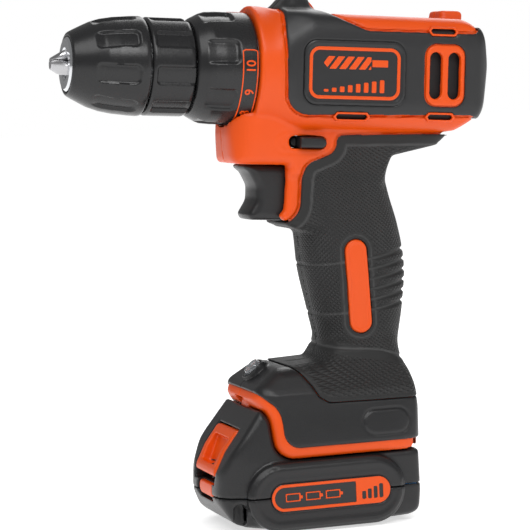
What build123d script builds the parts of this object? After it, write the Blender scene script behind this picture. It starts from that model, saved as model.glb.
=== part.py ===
"""Compact cordless drill: pistol body, keyless chuck, clutch, two-stage planetary gearbox, slide-on battery.

Frame: +Z up, the chuck points along -X, -Y is the drill's left side. The origin is under the middle of the
drill, on the surface that the battery stands on. The whole barrel is pitched nose-up by BARREL_TILT, so
everything on the barrel is modelled in a barrel frame of its own: X runs rearwards along the spindle axis,
Z is height above that axis. `on_barrel` puts such a shape where it belongs. Millimetres.
"""

from build123d import *
import math
import os

# ---------------------------------------------------------------- driving dimensions
BARREL_TILT = 4.1  # degrees, nose up
AXIS_X = 7.3  # where the barrel frame's origin lies in the drill's own frame
AXIS_Z = 196.8
BARREL_PLACE = Location((AXIS_X, 0, AXIS_Z), (0, BARREL_TILT, 0))

WALL = 2.4  # moulded shell
SKIN = 1.2  # side covers and foot covers
RUBBER = 1.6  # grip overmould
GAP = 0.4  # between bodies that move past each other
FIT = 0.05  # radial clearance of a running fit

# barrel of the body
BARREL_HALF_WIDTH = 27.6
BARREL_TOP = 31.0
BARREL_BOTTOM = -26.5
RING_RADIUS = 27.3  # round front of the body, behind the clutch collar
RING_FRONT = -19.8

# chuck
NOSE_U = -99.2
CHUCK_REAR_U = -46.6
SLEEVE_SPLIT_U = -61.5
SLEEVE_RADIUS = 21.3
BIT_RADIUS = 5.2
BIT_FLOOR_U = -67.0
BIT_SEAT_FRONT_U = -79.0
BIT_THROAT_RADIUS = 5.7
JAW_TIP_U = -105.3
JAW_ANGLE = 14.0
JAW_RADIUS = 3.0
JAW_TIP_OFFSET = 1.9  # jaw centre line above the spindle axis, at the tip
JAW_LENGTH = 30.0
JAW_COUNT = 3

# clutch and gearbox
COLLAR_RADIUS = 24.3
COLLAR_FRONT_U = -45.8
COLLAR_REAR_U = -20.4
GEARBOX_RADIUS = 21.4
MODULE = 0.8
SUN_TEETH = 9
PLANET_TEETH = 15
RING_TEETH = 39
PRESSURE_ANGLE = 25.0
ADDENDUM = 0.8 * MODULE
DEDENDUM = 1.0 * MODULE
BACKLASH = 0.10
PLANET_COUNT = 3
PLANET_ORBIT = MODULE * (SUN_TEETH + PLANET_TEETH) / 2
STAGE_ONE = (9.0, 18.0)  # axial span of the gears
STAGE_TWO = (-6.0, 3.0)

# motor
MOTOR_RADIUS = 17.9
MOTOR_FRONT_U = 21.0
MOTOR_REAR_U = 77.0
SHAFT_RADIUS = 1.6

# trigger and selector
TRIGGER_HALF_WIDTH = 11.0
TRIGGER_TRAVEL = 6.0
TRIGGER_TOP = -41.0
TRIGGER_BOTTOM = -64.7

# handle sections: height, front, back, half width
HANDLE_SECTIONS = [
    (62.0, 14.0, 51.0, 17.5),
    (76.0, 14.6, 52.4, 16.8),
    (92.0, 12.0, 55.2, 17.0),
    (110.0, 8.6, 56.8, 17.6),
    (128.0, 6.4, 53.6, 17.6),
    (146.0, 2.0, 50.3, 17.2),
    (168.0, -1.0, 50.0, 17.2),
]
HANDLE_CORNER = 14.0

# foot and battery
FOOT_HALF_WIDTH = 31.2
BATTERY_HALF_WIDTH = 31.6
POD_HALF_WIDTH = 33.5
SKIRT_Z = 31.7
SEAM_Z = 16.2
CELL_RADIUS = 9.2
CELL_LENGTH = 65.0
CELL_FRONT = -16.0
RAIL_TOP = 43.5
LATCH_HALF_WIDTH = 17.0
LATCH_TRAVEL = 3.0
SPRING_X = -33.2
LATCH_FLOOR = 21.0
KEEPER_Z = 56.4  # edge of the foot that the catch hooks behind

os.makedirs("parts", exist_ok=True)


# ---------------------------------------------------------------- helpers
def rod(radius, u0, u1, y=0.0, w=0.0):
    """Round bar along X from u0 to u1."""
    return Pos((u0 + u1) / 2, y, w) * Cylinder(radius, abs(u1 - u0), rotation=(0, 90, 0))


def tube(outer, inner, u0, u1, y=0.0, w=0.0):
    """Round tube along X, cut clean through."""
    return rod(outer, u0, u1, y, w) - rod(inner, u0 - 1, u1 + 1, y, w)


def block(x0, x1, y0, y1, z0, z1):
    """Box between two corners."""
    centre = Pos((x0 + x1) / 2, (y0 + y1) / 2, (z0 + z1) / 2)
    return centre * Box(x1 - x0, y1 - y0, z1 - z0)


def turned(profile):
    """Solid turned about the X axis from (u, radius) points."""
    face = make_face(Plane.XZ * Polyline(*profile, close=True))
    return revolve(face, axis=Axis.X)


def on_barrel(shape):
    """Move a shape from the barrel frame into the drill's frame."""
    return BARREL_PLACE * shape


def around(shape, count, first=0.0):
    """Copies of a shape turned about the X axis, evenly spaced."""
    return [Rot(first + 360 * i / count, 0, 0) * shape for i in range(count)]


def joined(shapes):
    """Union of a list of shapes."""
    total = shapes[0]
    for shape in shapes[1:]:
        total = total + shape
    return total


def grown(corners, amount):
    """Outline moved outwards by an amount; a negative amount moves it inwards."""
    if amount == 0:
        return corners
    count = len(corners)
    area = 0.0
    for i in range(count):
        a, b = corners[i - 1], corners[i]
        area += a[0] * b[1] - b[0] * a[1]
    side = 1.0 if area > 0 else -1.0
    moved = []
    for i in range(count):
        p, q, r = corners[i - 1], corners[i], corners[(i + 1) % count]
        d0 = (Vector(q[0], q[1]) - Vector(p[0], p[1])).normalized()
        d1 = (Vector(r[0], r[1]) - Vector(q[0], q[1])).normalized()
        turn = d0.X * d1.Y - d0.Y * d1.X
        n0 = Vector(d0.Y, -d0.X) * side
        n1 = Vector(d1.Y, -d1.X) * side
        mean = (n0 + n1) * (amount / (1.0 + n0.dot(n1)))
        bulge = amount if turn * side > 0 else -amount
        moved.append((q[0] + mean.X, q[1] + mean.Y, max(0.0, q[2] + bulge)))
    return moved


def outline(plane, corners, amount=0.0):
    """Face on a plane: straight runs joined by tangent arcs, one (a, b, radius) for each corner."""
    corners = grown(corners, amount)
    count = len(corners)
    arcs = []
    for i in range(count):
        here = Vector(corners[i][0], corners[i][1])
        back = Vector(corners[i - 1][0], corners[i - 1][1]) - here
        ahead = Vector(corners[(i + 1) % count][0], corners[(i + 1) % count][1]) - here
        half = math.radians(back.get_angle(ahead)) / 2
        reach = min(corners[i][2] / math.tan(half), 0.49 * back.length, 0.49 * ahead.length)
        radius = reach * math.tan(half)
        middle = (back.normalized() + ahead.normalized()).normalized()
        middle = here + middle * (radius / math.sin(half) - radius)
        arcs.append((here + back.normalized() * reach, middle, here + ahead.normalized() * reach, radius))
    edges = []
    for i in range(count):
        start, middle, end, radius = arcs[i]
        if radius > 0.01:
            edges.append(ThreePointArc(start, middle, end))
        edges.append(Line(end, arcs[(i + 1) % count][0]))
    return plane * make_face(Curve() + edges)


def prism(plane, corners, low, high, amount=0.0):
    """Outline on a plane, extruded along the plane's normal from low to high."""
    return extrude(outline(plane.offset(low), corners, amount), high - low)


def across(corners, half_width, amount=0.0):
    """Side outline in (x, z), extruded to both sides of the middle plane."""
    return prism(Plane.XZ, corners, -half_width - amount, half_width + amount, amount)


def rounded_box(x0, x1, y0, y1, radius):
    """Corners of a rounded rectangle."""
    return [(x0, y0, radius), (x1, y0, radius), (x1, y1, radius), (x0, y1, radius)]


def stadium(x0, x1, z0, z1):
    """Corners of a slot shape with full round ends."""
    radius = 0.495 * min(abs(x1 - x0), abs(z1 - z0))
    return rounded_box(x0, x1, z0, z1, radius)


def mirrored(shape):
    """The same shape on the drill's other side."""
    return mirror(shape, about=Plane.XZ)


def left_of_middle(shape):
    """The part of a shape on the drill's left, y below 0."""
    return shape & block(-150, 150, -60, 0, -20, 260)


def largest(shape):
    """The biggest solid of a result, without stray crumbs."""
    return max(shape.solids(), key=lambda solid: solid.volume)


def coil(path, wire_radius):
    """Round wire along a helix."""
    start = Plane(origin=path @ 0, z_dir=path % 0)
    return sweep(start * Circle(wire_radius), path=path)


def save(name, shape):
    """Write one node."""
    export_step(shape, f"parts/{name}.step")


# ---------------------------------------------------------------- outer form of the body
BARREL_SIDE = [
    (-14.0, -26.5, 1), (-14.0, 27.4, 1), (-7.5, 27.4, 3), (-4.5, 30.4, 3), (4.5, 30.4, 6), (12.0, 25.6, 8),
    (63.0, 25.2, 8), (69.0, 28.2, 4), (79.0, 27.8, 4), (87.5, 19.5, 14), (91.2, 4.0, 16),
    (88.0, -17.0, 12), (73.0, -26.5, 8),
]
NECK_SIDE = [
    (-31.8, -18.0, 0.5), (-32.3, -28.0, 6), (-30.0, -40.6, 3), (-3.4, -40.6, 1), (-3.6, -46.0, 2),
    (44.0, -46.0, 2), (48.0, -37.2, 8), (67.5, -32.4, 5), (73.0, -24.0, 2), (73.0, -18.0, 1),
]
GUARD_SIDE = [
    (-3.4, -38.0, 1), (-4.2, -60.0, 6), (-9.6, -64.2, 0.8), (-9.0, -66.8, 1.2), (-2.0, -67.2, 3),
    (7.0, -70.5, 4), (20.0, -70.5, 2), (20.0, -38.0, 2),
]
FOOT_SIDE = [
    (-21.8, 56.0, 1), (-18.0, 62.6, 4), (-8.6, 69.8, 6), (14.0, 70.6, 3), (20.0, 76.0, 3), (46.0, 76.0, 3),
    (51.6, 66.0, 12), (54.8, 50.0, 10), (53.6, SKIRT_Z, 0.8), (-3.1, SKIRT_Z, 2.5), (-6.7, 33.4, 4),
    (-14.7, 43.8, 20),
]


def barrel_form(amount=0.0):
    """Barrel of the body with its round front ring and domed rear, in the barrel frame."""
    side = across(BARREL_SIDE, BARREL_HALF_WIDTH, amount)
    section = [
        (-BARREL_HALF_WIDTH, BARREL_BOTTOM, 15), (BARREL_HALF_WIDTH, BARREL_BOTTOM, 15),
        (BARREL_HALF_WIDTH, BARREL_TOP, 21), (-BARREL_HALF_WIDTH, BARREL_TOP, 21),
    ]
    plan = [
        (-16.0, -BARREL_HALF_WIDTH, 1), (91.4, -BARREL_HALF_WIDTH, 17),
        (91.4, BARREL_HALF_WIDTH, 17), (-16.0, BARREL_HALF_WIDTH, 1),
    ]
    body = side & prism(Plane.YZ, section, -20, 100, amount) & prism(Plane.XY, plan, -40, 40, amount)
    return body + rod(RING_RADIUS + amount, RING_FRONT - amount, -6)


def neck_form(amount=0.0):
    """Chin under the collar, roof over the trigger and rear overhang above the handle, barrel frame."""
    section = [
        (-17.4, -46, 4), (17.4, -46, 4), (19.5, -30, 8),
        (19.5, -15, 1), (-19.5, -15, 1), (-19.5, -30, 8),
    ]
    plan = [
        (-32.4, -19.5, 15), (60.0, -19.5, 8), (74.0, -14.0, 9), (74.0, 14.0, 9), (60.0, 19.5, 8),
        (-32.4, 19.5, 15),
    ]
    body = across(NECK_SIDE, 20, amount) & prism(Plane.YZ, section, -50, 90, amount)
    body = body & prism(Plane.XY, plan, -60, 0, amount)
    return body - rod(COLLAR_RADIUS + 0.7, -60, RING_FRONT - 0.01)


def guard_form(amount=0.0):
    """Housing around the back and underside of the trigger, barrel frame."""
    plan = rounded_box(-11, 24, -15.5, 15.5, 6)
    return across(GUARD_SIDE, 15.5, amount) & prism(Plane.XY, plan, -90, -20, amount)


def handle_form(amount=0.0):
    """Handle as a loft through rounded sections."""
    faces = []
    for z, front, back, half_width in HANDLE_SECTIONS:
        corners = rounded_box(front, back, -half_width, half_width, HANDLE_CORNER)
        faces.append(outline(Plane.XY.offset(z), corners, amount))
    return loft(faces)


def foot_form(amount=0.0):
    """Foot that flares from the handle to the battery, over its open underside."""
    front_view = [
        (-FOOT_HALF_WIDTH, SKIRT_Z - 6, 1), (FOOT_HALF_WIDTH, SKIRT_Z - 6, 1), (FOOT_HALF_WIDTH, 38, 12),
        (26.0, 59.0, 16), (17.5, 71.5, 6), (17.0, 80, 1), (-17.0, 80, 1), (-17.5, 71.5, 6), (-26.0, 59.0, 16),
        (-FOOT_HALF_WIDTH, 38, 12),
    ]
    plan = [
        (-22.0, -FOOT_HALF_WIDTH, 18), (55.0, -FOOT_HALF_WIDTH, 12),
        (55.0, FOOT_HALF_WIDTH, 12), (-22.0, FOOT_HALF_WIDTH, 18),
    ]
    body = across(FOOT_SIDE, FOOT_HALF_WIDTH, amount)
    return body & prism(Plane.YZ, front_view, -30, 70, amount) & prism(Plane.XY, plan, 20, 90, amount)


def body_form(amount=0.0):
    """Whole outside of the pistol body."""
    upper = barrel_form(amount) + neck_form(amount) + guard_form(amount)
    return on_barrel(upper) + handle_form(amount) + foot_form(amount)


# ---------------------------------------------------------------- housing halves
BOSS_PLACES = [(1.0, 26.4), (80.0, 12.0), (80.0, -12.0)]  # screw bosses, barrel frame
HANDLE_BOSSES = [(20.0, 120.0), (28.0, 84.0), (44.0, 58.0)]  # screw bosses, drill frame
SCREW_RADIUS = 1.5


def boss_points():
    """Every screw's place in the drill's frame."""
    points = []
    for u, w in BOSS_PLACES:
        spot = BARREL_PLACE * Pos(u, 0, w)
        points.append((spot.position.X, spot.position.Z))
    return points + HANDLE_BOSSES


def y_rod(radius, x, z, y0, y1):
    """Round bar along Y."""
    return Pos(x, (y0 + y1) / 2, z) * Cylinder(radius, abs(y1 - y0), rotation=(90, 0, 0))


VENT_SLOTS = [(55.2, 61.2, -11.0, 9.6), (63.6, 69.6, -11.0, 9.6)]


def battery_bay():
    """Room that the battery's rail and latch need inside the foot, open to the front and below."""
    rail = block(-26, 46.5, -18.6, 18.6, 20, RAIL_TOP + GAP)
    nose = block(-40, -10, -LATCH_HALF_WIDTH - 0.8, LATCH_HALF_WIDTH + 0.8, 40, KEEPER_Z)
    return rail + nose


def housing_pair():
    """Left and right clamshell halves."""
    form = body_form()
    hollow = on_barrel(barrel_form(-WALL) + neck_form(-WALL) + guard_form(-WALL - 0.2)) + handle_form(-WALL)
    hollow = hollow + foot_form(-WALL)
    shell = form - hollow
    # open underside of the foot, then the two rails that carry the battery
    shell = shell - block(-2, 51, -28.4, 28.4, 20, 36)
    shell = shell - battery_bay()
    for side in (-1, 1):
        y_wall, y_rail = side * 29.4, side * 16.0
        ledge = block(2, 50.6, min(y_wall, y_rail), max(y_wall, y_rail), 36.6, 39.0)
        shell = shell + (ledge & foot_form(-0.5))
    # trigger opening and slot of the direction selector
    opening = block(-16, 6, -TRIGGER_HALF_WIDTH - 0.3, TRIGGER_HALF_WIDTH + 0.3, TRIGGER_BOTTOM - 0.4, -40.6)
    selector = prism(Plane.XZ, stadium(-2.9, 11.9, -33.4, -28.0), -40, 40)
    shell = shell - on_barrel(opening) - on_barrel(selector)
    for u0, u1, w0, w1 in VENT_SLOTS:
        shell = shell - on_barrel(prism(Plane.XZ, stadium(u0, u1, w0, w1), -40, 40))
    # screw bosses, threaded on the left, counterbored on the right
    inside = body_form(-0.6)
    for x, z in boss_points():
        shell = shell + (y_rod(3.4, x, z, -26, 26) & inside)
    for x, z in boss_points():
        shell = shell - y_rod(SCREW_RADIUS + 0.02, x, z, -11, 40) - y_rod(3.0, x, z, 9, 40)
    # room for the motor, gearbox, switch and terminals, which the halves clamp
    shell = shell - on_barrel(rod(GEARBOX_RADIUS + 0.1, -30, MOTOR_FRONT_U))
    shell = shell - on_barrel(rod(MOTOR_RADIUS + 0.1, MOTOR_FRONT_U - 1, MOTOR_REAR_U + 3.5))
    shell = shell - on_barrel(block(8, 36, -9.6, 9.6, -66, -43))
    left = left_of_middle(shell)
    right = shell & block(-150, 150, 0, 60, -20, 260)
    return largest(left), largest(right)


def housing_screws():
    """Pan-head screws that join the halves, driven from the right."""
    screws = []
    for x, z in boss_points():
        head = y_rod(2.8, x, z, 9.0, 11.0) - (Pos(x, 10.6, z) * Box(1.1, 0.9, 3.4))
        screws.append(y_rod(SCREW_RADIUS, x, z, -10.5, 9.0) + head)
    return Compound(children=screws)


# ---------------------------------------------------------------- outer trims of the body
COVER_SIDE = [
    (-8.8, 16.0, 8), (-7.2, 31.0, 1), (-7.4, 40.0, 1), (11.0, 40.0, 1), (12.6, 28.0, 2), (15.0, 22.6, 4),
    (30.0, 17.8, 14), (79.0, 17.8, 4), (80.4, 40.0, 1), (110.0, 40.0, 1), (110.0, -30.0, 1),
    (88.0, -30.0, 2), (80.0, -17.4, 12), (2.0, -19.1, 8), (-7.4, -12.0, 10), (-8.6, 0.0, 20),
]
GRIP_SIDE = [
    (16.8, -27.4, 3), (16.4, -34.6, 5), (2.4, -41.8, 5), (2.2, -60.0, 6), (-3.6, -66.4, 1), (-3.6, -80.0, 1),
    (-20.0, -160.0, 1), (90.0, -160.0, 1), (90.0, -24.0, 1), (66.5, -25.6, 3),
]
BADGE = (-1.6, 44.4, -14.6, 13.2)
VENT_FRAME = (53.4, 71.4, -13.8, 12.6)
INSERT_CENTRE = (29.4, 102.6)
INSERT_HALF = (5.0, 20.4)
INSERT_LEAN = 2.7


def side_cover(core):
    """Dark cover over the left of the barrel, the top saddle and the domed rear."""
    cover = (barrel_form(SKIN) - barrel_form()) & prism(Plane.XZ, COVER_SIDE, 0, 60)
    seat = prism(Plane.XZ, rounded_box(*BADGE, 6), 0, 60) & (barrel_form(5) - barrel_form(SKIN - 0.7))
    window = prism(Plane.XZ, rounded_box(*VENT_FRAME, 5), 0, 60)
    cover = cover - seat - window
    for x, z in boss_points()[:3]:
        cover = cover - on_barrel_back(y_rod(3.4, x, z, 8, 60))
    return largest(on_barrel(cover) - core)


def on_barrel_back(shape):
    """Move a shape from the drill's frame into the barrel frame."""
    return BARREL_PLACE.inverse() * shape


def badge(amount):
    """Blank raised plate on the side cover."""
    plate = prism(Plane.XZ, rounded_box(*BADGE, 6), 0, 60, -0.15)
    return on_barrel(largest(plate & (barrel_form(SKIN + amount) - barrel_form(SKIN - 0.7))))


def vent_frame(core):
    """Orange frame with a middle bar around the two cooling slots."""
    frame = prism(Plane.XZ, rounded_box(*VENT_FRAME, 5), 0, 60, -0.15)
    frame = frame & (barrel_form(SKIN + 0.5) - barrel_form())
    for u0, u1, w0, w1 in VENT_SLOTS:
        frame = frame - prism(Plane.XZ, stadium(u0, u1, w0, w1), -1, 60)
    return largest(on_barrel(frame) - core)


def insert_slot(amount):
    """Leaning slot shape on the left of the grip."""
    half_x, half_z = INSERT_HALF
    bar = prism(Plane.XZ, stadium(-half_x, half_x, -half_z, half_z), 0, 60, amount)
    return Pos(INSERT_CENTRE[0], 0, INSERT_CENTRE[1]) * (Rot(0, -INSERT_LEAN, 0) * bar)


def grip(core):
    """Rubber overmould on the left of the handle."""
    upper = on_barrel(neck_form(RUBBER) & prism(Plane.XZ, GRIP_SIDE, 0, 60))
    lower = handle_form(RUBBER) & on_barrel(prism(Plane.XZ, GRIP_SIDE, 0, 60))
    skin = (upper + lower) - core - on_barrel(barrel_form(SKIN)) - insert_slot(0.1)
    skin = skin & block(-60, 120, -60, 0, 72.6, 200)
    skin = skin - on_barrel(prism(Plane.XZ, stadium(-2.9, 11.9, -33.4, -28.0), -1, 40))
    return largest(skin)


def grip_insert(core):
    """Orange bar let into the rubber."""
    skin = handle_form(RUBBER + 0.4) - handle_form(0.02) - core
    return largest(skin & insert_slot(0))


def foot_cover(core):
    """Dark cover on the left of the foot, above its orange skirt."""
    edge = [
        (-40.0, 61.0, 1), (-18.0, 61.0, 4), (-9.0, 48.0, 6), (-2.6, 37.4, 5), (2.0, 36.2, 3), (80.0, 36.2, 1),
        (80.0, 90.0, 1), (-40.0, 90.0, 1),
    ]
    skin = (foot_form(SKIN) - foot_form()) & prism(Plane.XZ, edge, 0, 60)
    skin = skin & block(-60, 90, -60, 0, 30, 72.4)
    return largest(skin - core - handle_form(RUBBER))


LENS_CENTRE = (-12.6, 66.6)


def work_light_pocket(amount):
    """Tilted round seat of the work light in the front of the foot."""
    body = Cylinder(4.2 + amount, 9 + 2 * amount)
    return Pos(LENS_CENTRE[0], 0, LENS_CENTRE[1]) * (Rot(0, -42, 0) * body)


def work_light_lens():
    """Clear domed lens."""
    lens = Cylinder(4.1, 3.4) + Pos(0, 0, 1.7) * (Sphere(4.1) & Pos(0, 0, 1) * Cylinder(4.1, 2))
    place = Pos(LENS_CENTRE[0], 0, LENS_CENTRE[1]) * Rot(0, -42, 0)
    return place * (Pos(0, 0, 0.6) * lens)


def work_light_board():
    """Small board with its light-emitting diode, behind the lens."""
    board = Pos(0, 0, -3.2) * Box(5.6, 5.6, 1.2) + Pos(0, 0, -1.9) * Cylinder(1.5, 1.5)
    return Pos(LENS_CENTRE[0], 0, LENS_CENTRE[1]) * (Rot(0, -42, 0) * board)


# ---------------------------------------------------------------- chuck
def jaw_direction(angle):
    """Unit vector of a jaw's opening travel: rearwards and outwards."""
    lean = math.radians(JAW_ANGLE)
    around_axis = math.radians(angle)
    radial = math.sin(lean)
    return Vector(math.cos(lean), radial * math.cos(around_axis), radial * math.sin(around_axis))


def jaw_bar(radius, start, length, angle):
    """Round bar along one jaw's line, from `start` mm behind the tip."""
    along = jaw_direction(angle)
    turn = math.radians(angle)
    offset = Vector(0, math.cos(turn), math.sin(turn)) * JAW_TIP_OFFSET
    origin = Vector(JAW_TIP_U, 0, 0) + offset + along * start
    plane = Plane(origin=origin, z_dir=along)
    return extrude(plane * Circle(radius), length)


def jaw_angles():
    """Directions of the jaws round the spindle."""
    return [90 + 360 * i / JAW_COUNT for i in range(JAW_COUNT)]


def jaw(angle):
    """One jaw: a round bar whose front is cut to a wedge that meets its neighbours."""
    bar = jaw_bar(JAW_RADIUS, -3, JAW_LENGTH + 3, angle)
    reach = 40.0
    side = reach * math.sqrt(3)
    wedge = Polyline((0.25, 0), (reach, side), (reach, -side), close=True)
    sector = extrude(Plane.YZ.offset(JAW_TIP_U - 5) * make_face(wedge), 60)
    sector = Rot(angle, 0, 0) * sector
    tip = JAW_TIP_U
    point = turned([(tip, 0), (tip, 2.4), (tip + 5, 5.5), (tip + 60, 30), (tip + 60, 0)])
    return largest(bar & sector & point)


def chuck_body():
    """Steel core of the chuck with three leaning jaw bores and the bit bore between them."""
    core = turned([
        (NOSE_U, 0), (NOSE_U, 10.6), (NOSE_U + 0.9, 11.6), (-93.0, 11.8), (-92.8, 14.6), (-82.5, 14.6),
        (-82.5, 12.4), (-75.5, 12.4), (-75.5, 17.0), (-64.0, 17.6), (CHUCK_REAR_U - 0.2, 17.6),
        (CHUCK_REAR_U - 0.2, 0),
    ])
    mouth = turned([(NOSE_U - 1, 0), (NOSE_U - 1, 7.6), (-96.6, BIT_THROAT_RADIUS), (-96.6, 0)])
    core = core - mouth - rod(BIT_THROAT_RADIUS, NOSE_U - 1, BIT_SEAT_FRONT_U)
    core = core - rod(BIT_RADIUS, BIT_SEAT_FRONT_U - 1, BIT_FLOOR_U) - rod(4.4, BIT_FLOOR_U - 1, -62.6)
    core = core - rod(2.6, -64, -58) - rod(6.0, -60.0, CHUCK_REAR_U + 3)
    for angle in jaw_angles():
        core = core - jaw_bar(JAW_RADIUS + FIT + 0.03, -12, 72, angle)
    return largest(core)


def chuck_screw():
    """Screw that locks the chuck to the spindle, reached through the open jaws."""
    head = rod(4.2, -66.8, -62.6) - prism(Plane.YZ, rounded_box(-0.6, 0.6, -5, 5, 0.1), -67.5, -65.4)
    return head + rod(2.5, -62.6, -51.0)


def chuck_nut():
    """Split nut that drives the jaws, turned by the front sleeve."""
    return tube(17.6, 12.8, -82.1, -76.1)


def front_sleeve():
    """Ogive plastic sleeve with one row of grip pockets."""
    shell = turned([
        (-98.2, 12.1), (-98.2, 13.2), (-95.6, 14.9), (-92.2, 16.6), (-88.6, 18.3), (-84.4, 19.6),
        (-79.0, 20.5), (-72.0, 21.1), (-63.4, SLEEVE_RADIUS), (-61.8, 20.6), (-61.8, 18.0),
        (-75.9, 18.0), (-75.9, 17.7), (-82.3, 17.7), (-82.3, 14.9), (-93.2, 14.9), (-93.2, 12.1),
    ])
    pocket = prism(Plane.XY, stadium(-89.5, -71.0, -4.0, 4.0), 18.2, 30)
    for part in around(pocket, 8, 11):
        shell = shell - part
    return shell


def rear_sleeve():
    """Plastic sleeve fixed to the chuck body, with pockets open to the rear."""
    shell = turned([
        (-61.0, 17.7), (-61.0, 20.2), (-60.0, 21.0), (-48.2, 21.0),
        (CHUCK_REAR_U, 19.8), (CHUCK_REAR_U, 17.7),
    ])
    pocket = prism(Plane.XY, stadium(-59.4, -36.0, -3.8, 3.8), 19.4, 30)
    for part in around(pocket, 8, 11):
        shell = shell - part
    return shell


# ---------------------------------------------------------------- gears
def involute(angle):
    """Involute function of an angle in radians."""
    return math.tan(angle) - angle


def tooth_outline(teeth, root, tip, thickness, phase=0.0):
    """Closed outline of a gear with straight-sided steps along its involute flanks."""
    pitch = MODULE * teeth / 2
    pressure = math.radians(PRESSURE_ANGLE)
    base = pitch * math.cos(pressure)
    start = max(root, base + 0.01)
    steps = 4
    flank = []
    for i in range(steps + 1):
        radius = start + (tip - start) * i / steps
        half = thickness / (2 * pitch) + involute(pressure) - involute(math.acos(base / radius))
        flank.append((radius, half))
    if root < start:
        flank.insert(0, (root, flank[0][1]))
    points = []
    for tooth in range(teeth):
        centre = math.radians(phase) + 2 * math.pi * tooth / teeth
        for radius, half in flank:
            points.append((radius * math.cos(centre - half), radius * math.sin(centre - half)))
        for radius, half in reversed(flank):
            points.append((radius * math.cos(centre + half), radius * math.sin(centre + half)))
    return points


def external_gear(teeth, u0, u1, phase=0.0):
    """Toothed wheel about the X axis."""
    pitch = MODULE * teeth / 2
    thickness = math.pi * MODULE / 2 - BACKLASH / 2
    points = tooth_outline(teeth, pitch - DEDENDUM, pitch + ADDENDUM, thickness, phase)
    return extrude(Plane.YZ.offset(u0) * make_face(Polyline(*points, close=True)), u1 - u0)


def ring_gear(u0, u1, outer):
    """Internal gear with a gap on the Y axis."""
    pitch = MODULE * RING_TEETH / 2
    thickness = math.pi * MODULE / 2 + BACKLASH / 2
    points = tooth_outline(RING_TEETH, pitch - ADDENDUM, pitch + DEDENDUM, thickness)
    space = extrude(Plane.YZ.offset(u0 - 1) * make_face(Polyline(*points, close=True)), u1 - u0 + 2)
    return rod(outer, u0, u1) - space


def planet_angles():
    """Directions of the planets round the spindle."""
    return [360 * i / PLANET_COUNT for i in range(PLANET_COUNT)]


def planet_centre(angle):
    """Planet axis in the barrel frame, as (y, w)."""
    turn = math.radians(angle)
    return PLANET_ORBIT * math.cos(turn), PLANET_ORBIT * math.sin(turn)


def planet(stage, angle):
    """One planet, turned so that it meshes with the sun and the ring at rest."""
    phase = angle * (SUN_TEETH + PLANET_TEETH) / PLANET_TEETH
    wheel = external_gear(PLANET_TEETH, stage[0] + 0.4, stage[1] - 0.4, phase)
    wheel = wheel - rod(2.0 + FIT, stage[0] - 1, stage[1] + 1)
    y, w = planet_centre(angle)
    return Pos(0, y, w) * wheel


def planet_pins(u0, u1):
    """Three pins that carry the planets."""
    pins = []
    for angle in planet_angles():
        y, w = planet_centre(angle)
        pins.append(rod(2.0, u0, u1, y, w))
    return pins


def first_carrier():
    """Plate and pins of the first stage, with the second stage's sun in one piece."""
    plate = rod(13.6, 6.2, 8.4)
    sun = external_gear(SUN_TEETH, STAGE_TWO[0] + 0.6, 6.4)
    return joined([plate, sun] + planet_pins(8.2, STAGE_ONE[1] + 0.6))


def output_spindle():
    """Second carrier forged in one piece with the spindle that the chuck screws onto."""
    plate = rod(13.6, -9.4, -6.8)
    shaft = rod(6.0 - 0.01, -59.8, -9.2) - rod(2.6, -60.5, -50.0)
    return joined([plate, shaft] + planet_pins(-7.0, STAGE_TWO[1] + 0.6))


def motor_pinion():
    """First sun, pressed on the motor shaft."""
    return external_gear(SUN_TEETH, STAGE_ONE[0] + 0.4, 19.2) - rod(SHAFT_RADIUS, 0, 30)


def gearbox_housing():
    """Gear case whose threaded nose carries the clutch and the spindle's bearing."""
    case = turned([
        (-43.6, 9.0), (-43.6, 12.6), (-20.2, 12.6), (-20.2, GEARBOX_RADIUS), (20.0, GEARBOX_RADIUS),
        (20.0, 18.6), (-10.6, 18.6), (-10.6, 9.0),
    ])
    case = case - rod(10.0, -44.6, -36.6)
    for pin in around(rod(2.05, -21.2, -9.6, 0, 16.4), 6, 15):
        case = case - pin
    return case


def spindle_bearing():
    """Plain bearing of the spindle in the case's nose."""
    return tube(10.0, 6.0 + FIT, -43.4, -36.8)


def clutch_pins():
    """Round-nosed pins that press on the second ring gear."""
    return Compound(children=around(rod(2.0, -22.0, -8.0, 0, 16.4), 6, 15))


def clutch_spring():
    """Coil spring, wound up as far as the drilling setting does, with its thrust washer."""
    washer = tube(19.4, 13.4, -23.4, -22.1)
    wire = 1.0
    path = Helix(pitch=2.4, height=4.8, radius=16.4, center=(-29.4, 0, 0), direction=(1, 0, 0))
    return Compound(children=[washer, coil(path, wire)])


def clutch_nut():
    """Nut that the collar winds along the nose to load the spring."""
    ring = tube(19.6, 12.6 + 0.3, -35.4, -31.4)
    return joined([ring] + around(block(-35.4, -31.4, -1.6, 1.6, 19.0, 20.7), 4, 45))


def clutch_collar():
    """Torque collar with grip pockets, hollow over the clutch parts."""
    shell = turned([
        (COLLAR_FRONT_U, 13.2), (COLLAR_FRONT_U, 20.8), (-40.4, 23.6), (-34.0, COLLAR_RADIUS),
        (COLLAR_REAR_U, COLLAR_RADIUS), (COLLAR_REAR_U, 21.4), (-42.6, 21.4), (-43.0, 13.2),
    ])
    pocket = prism(Plane.XY, rounded_box(-43.4, -28.6, -5.0, 5.0, 2.2), 22.6, 30)
    for part in around(pocket, 7, 60):
        shell = shell - part
    return shell


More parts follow.
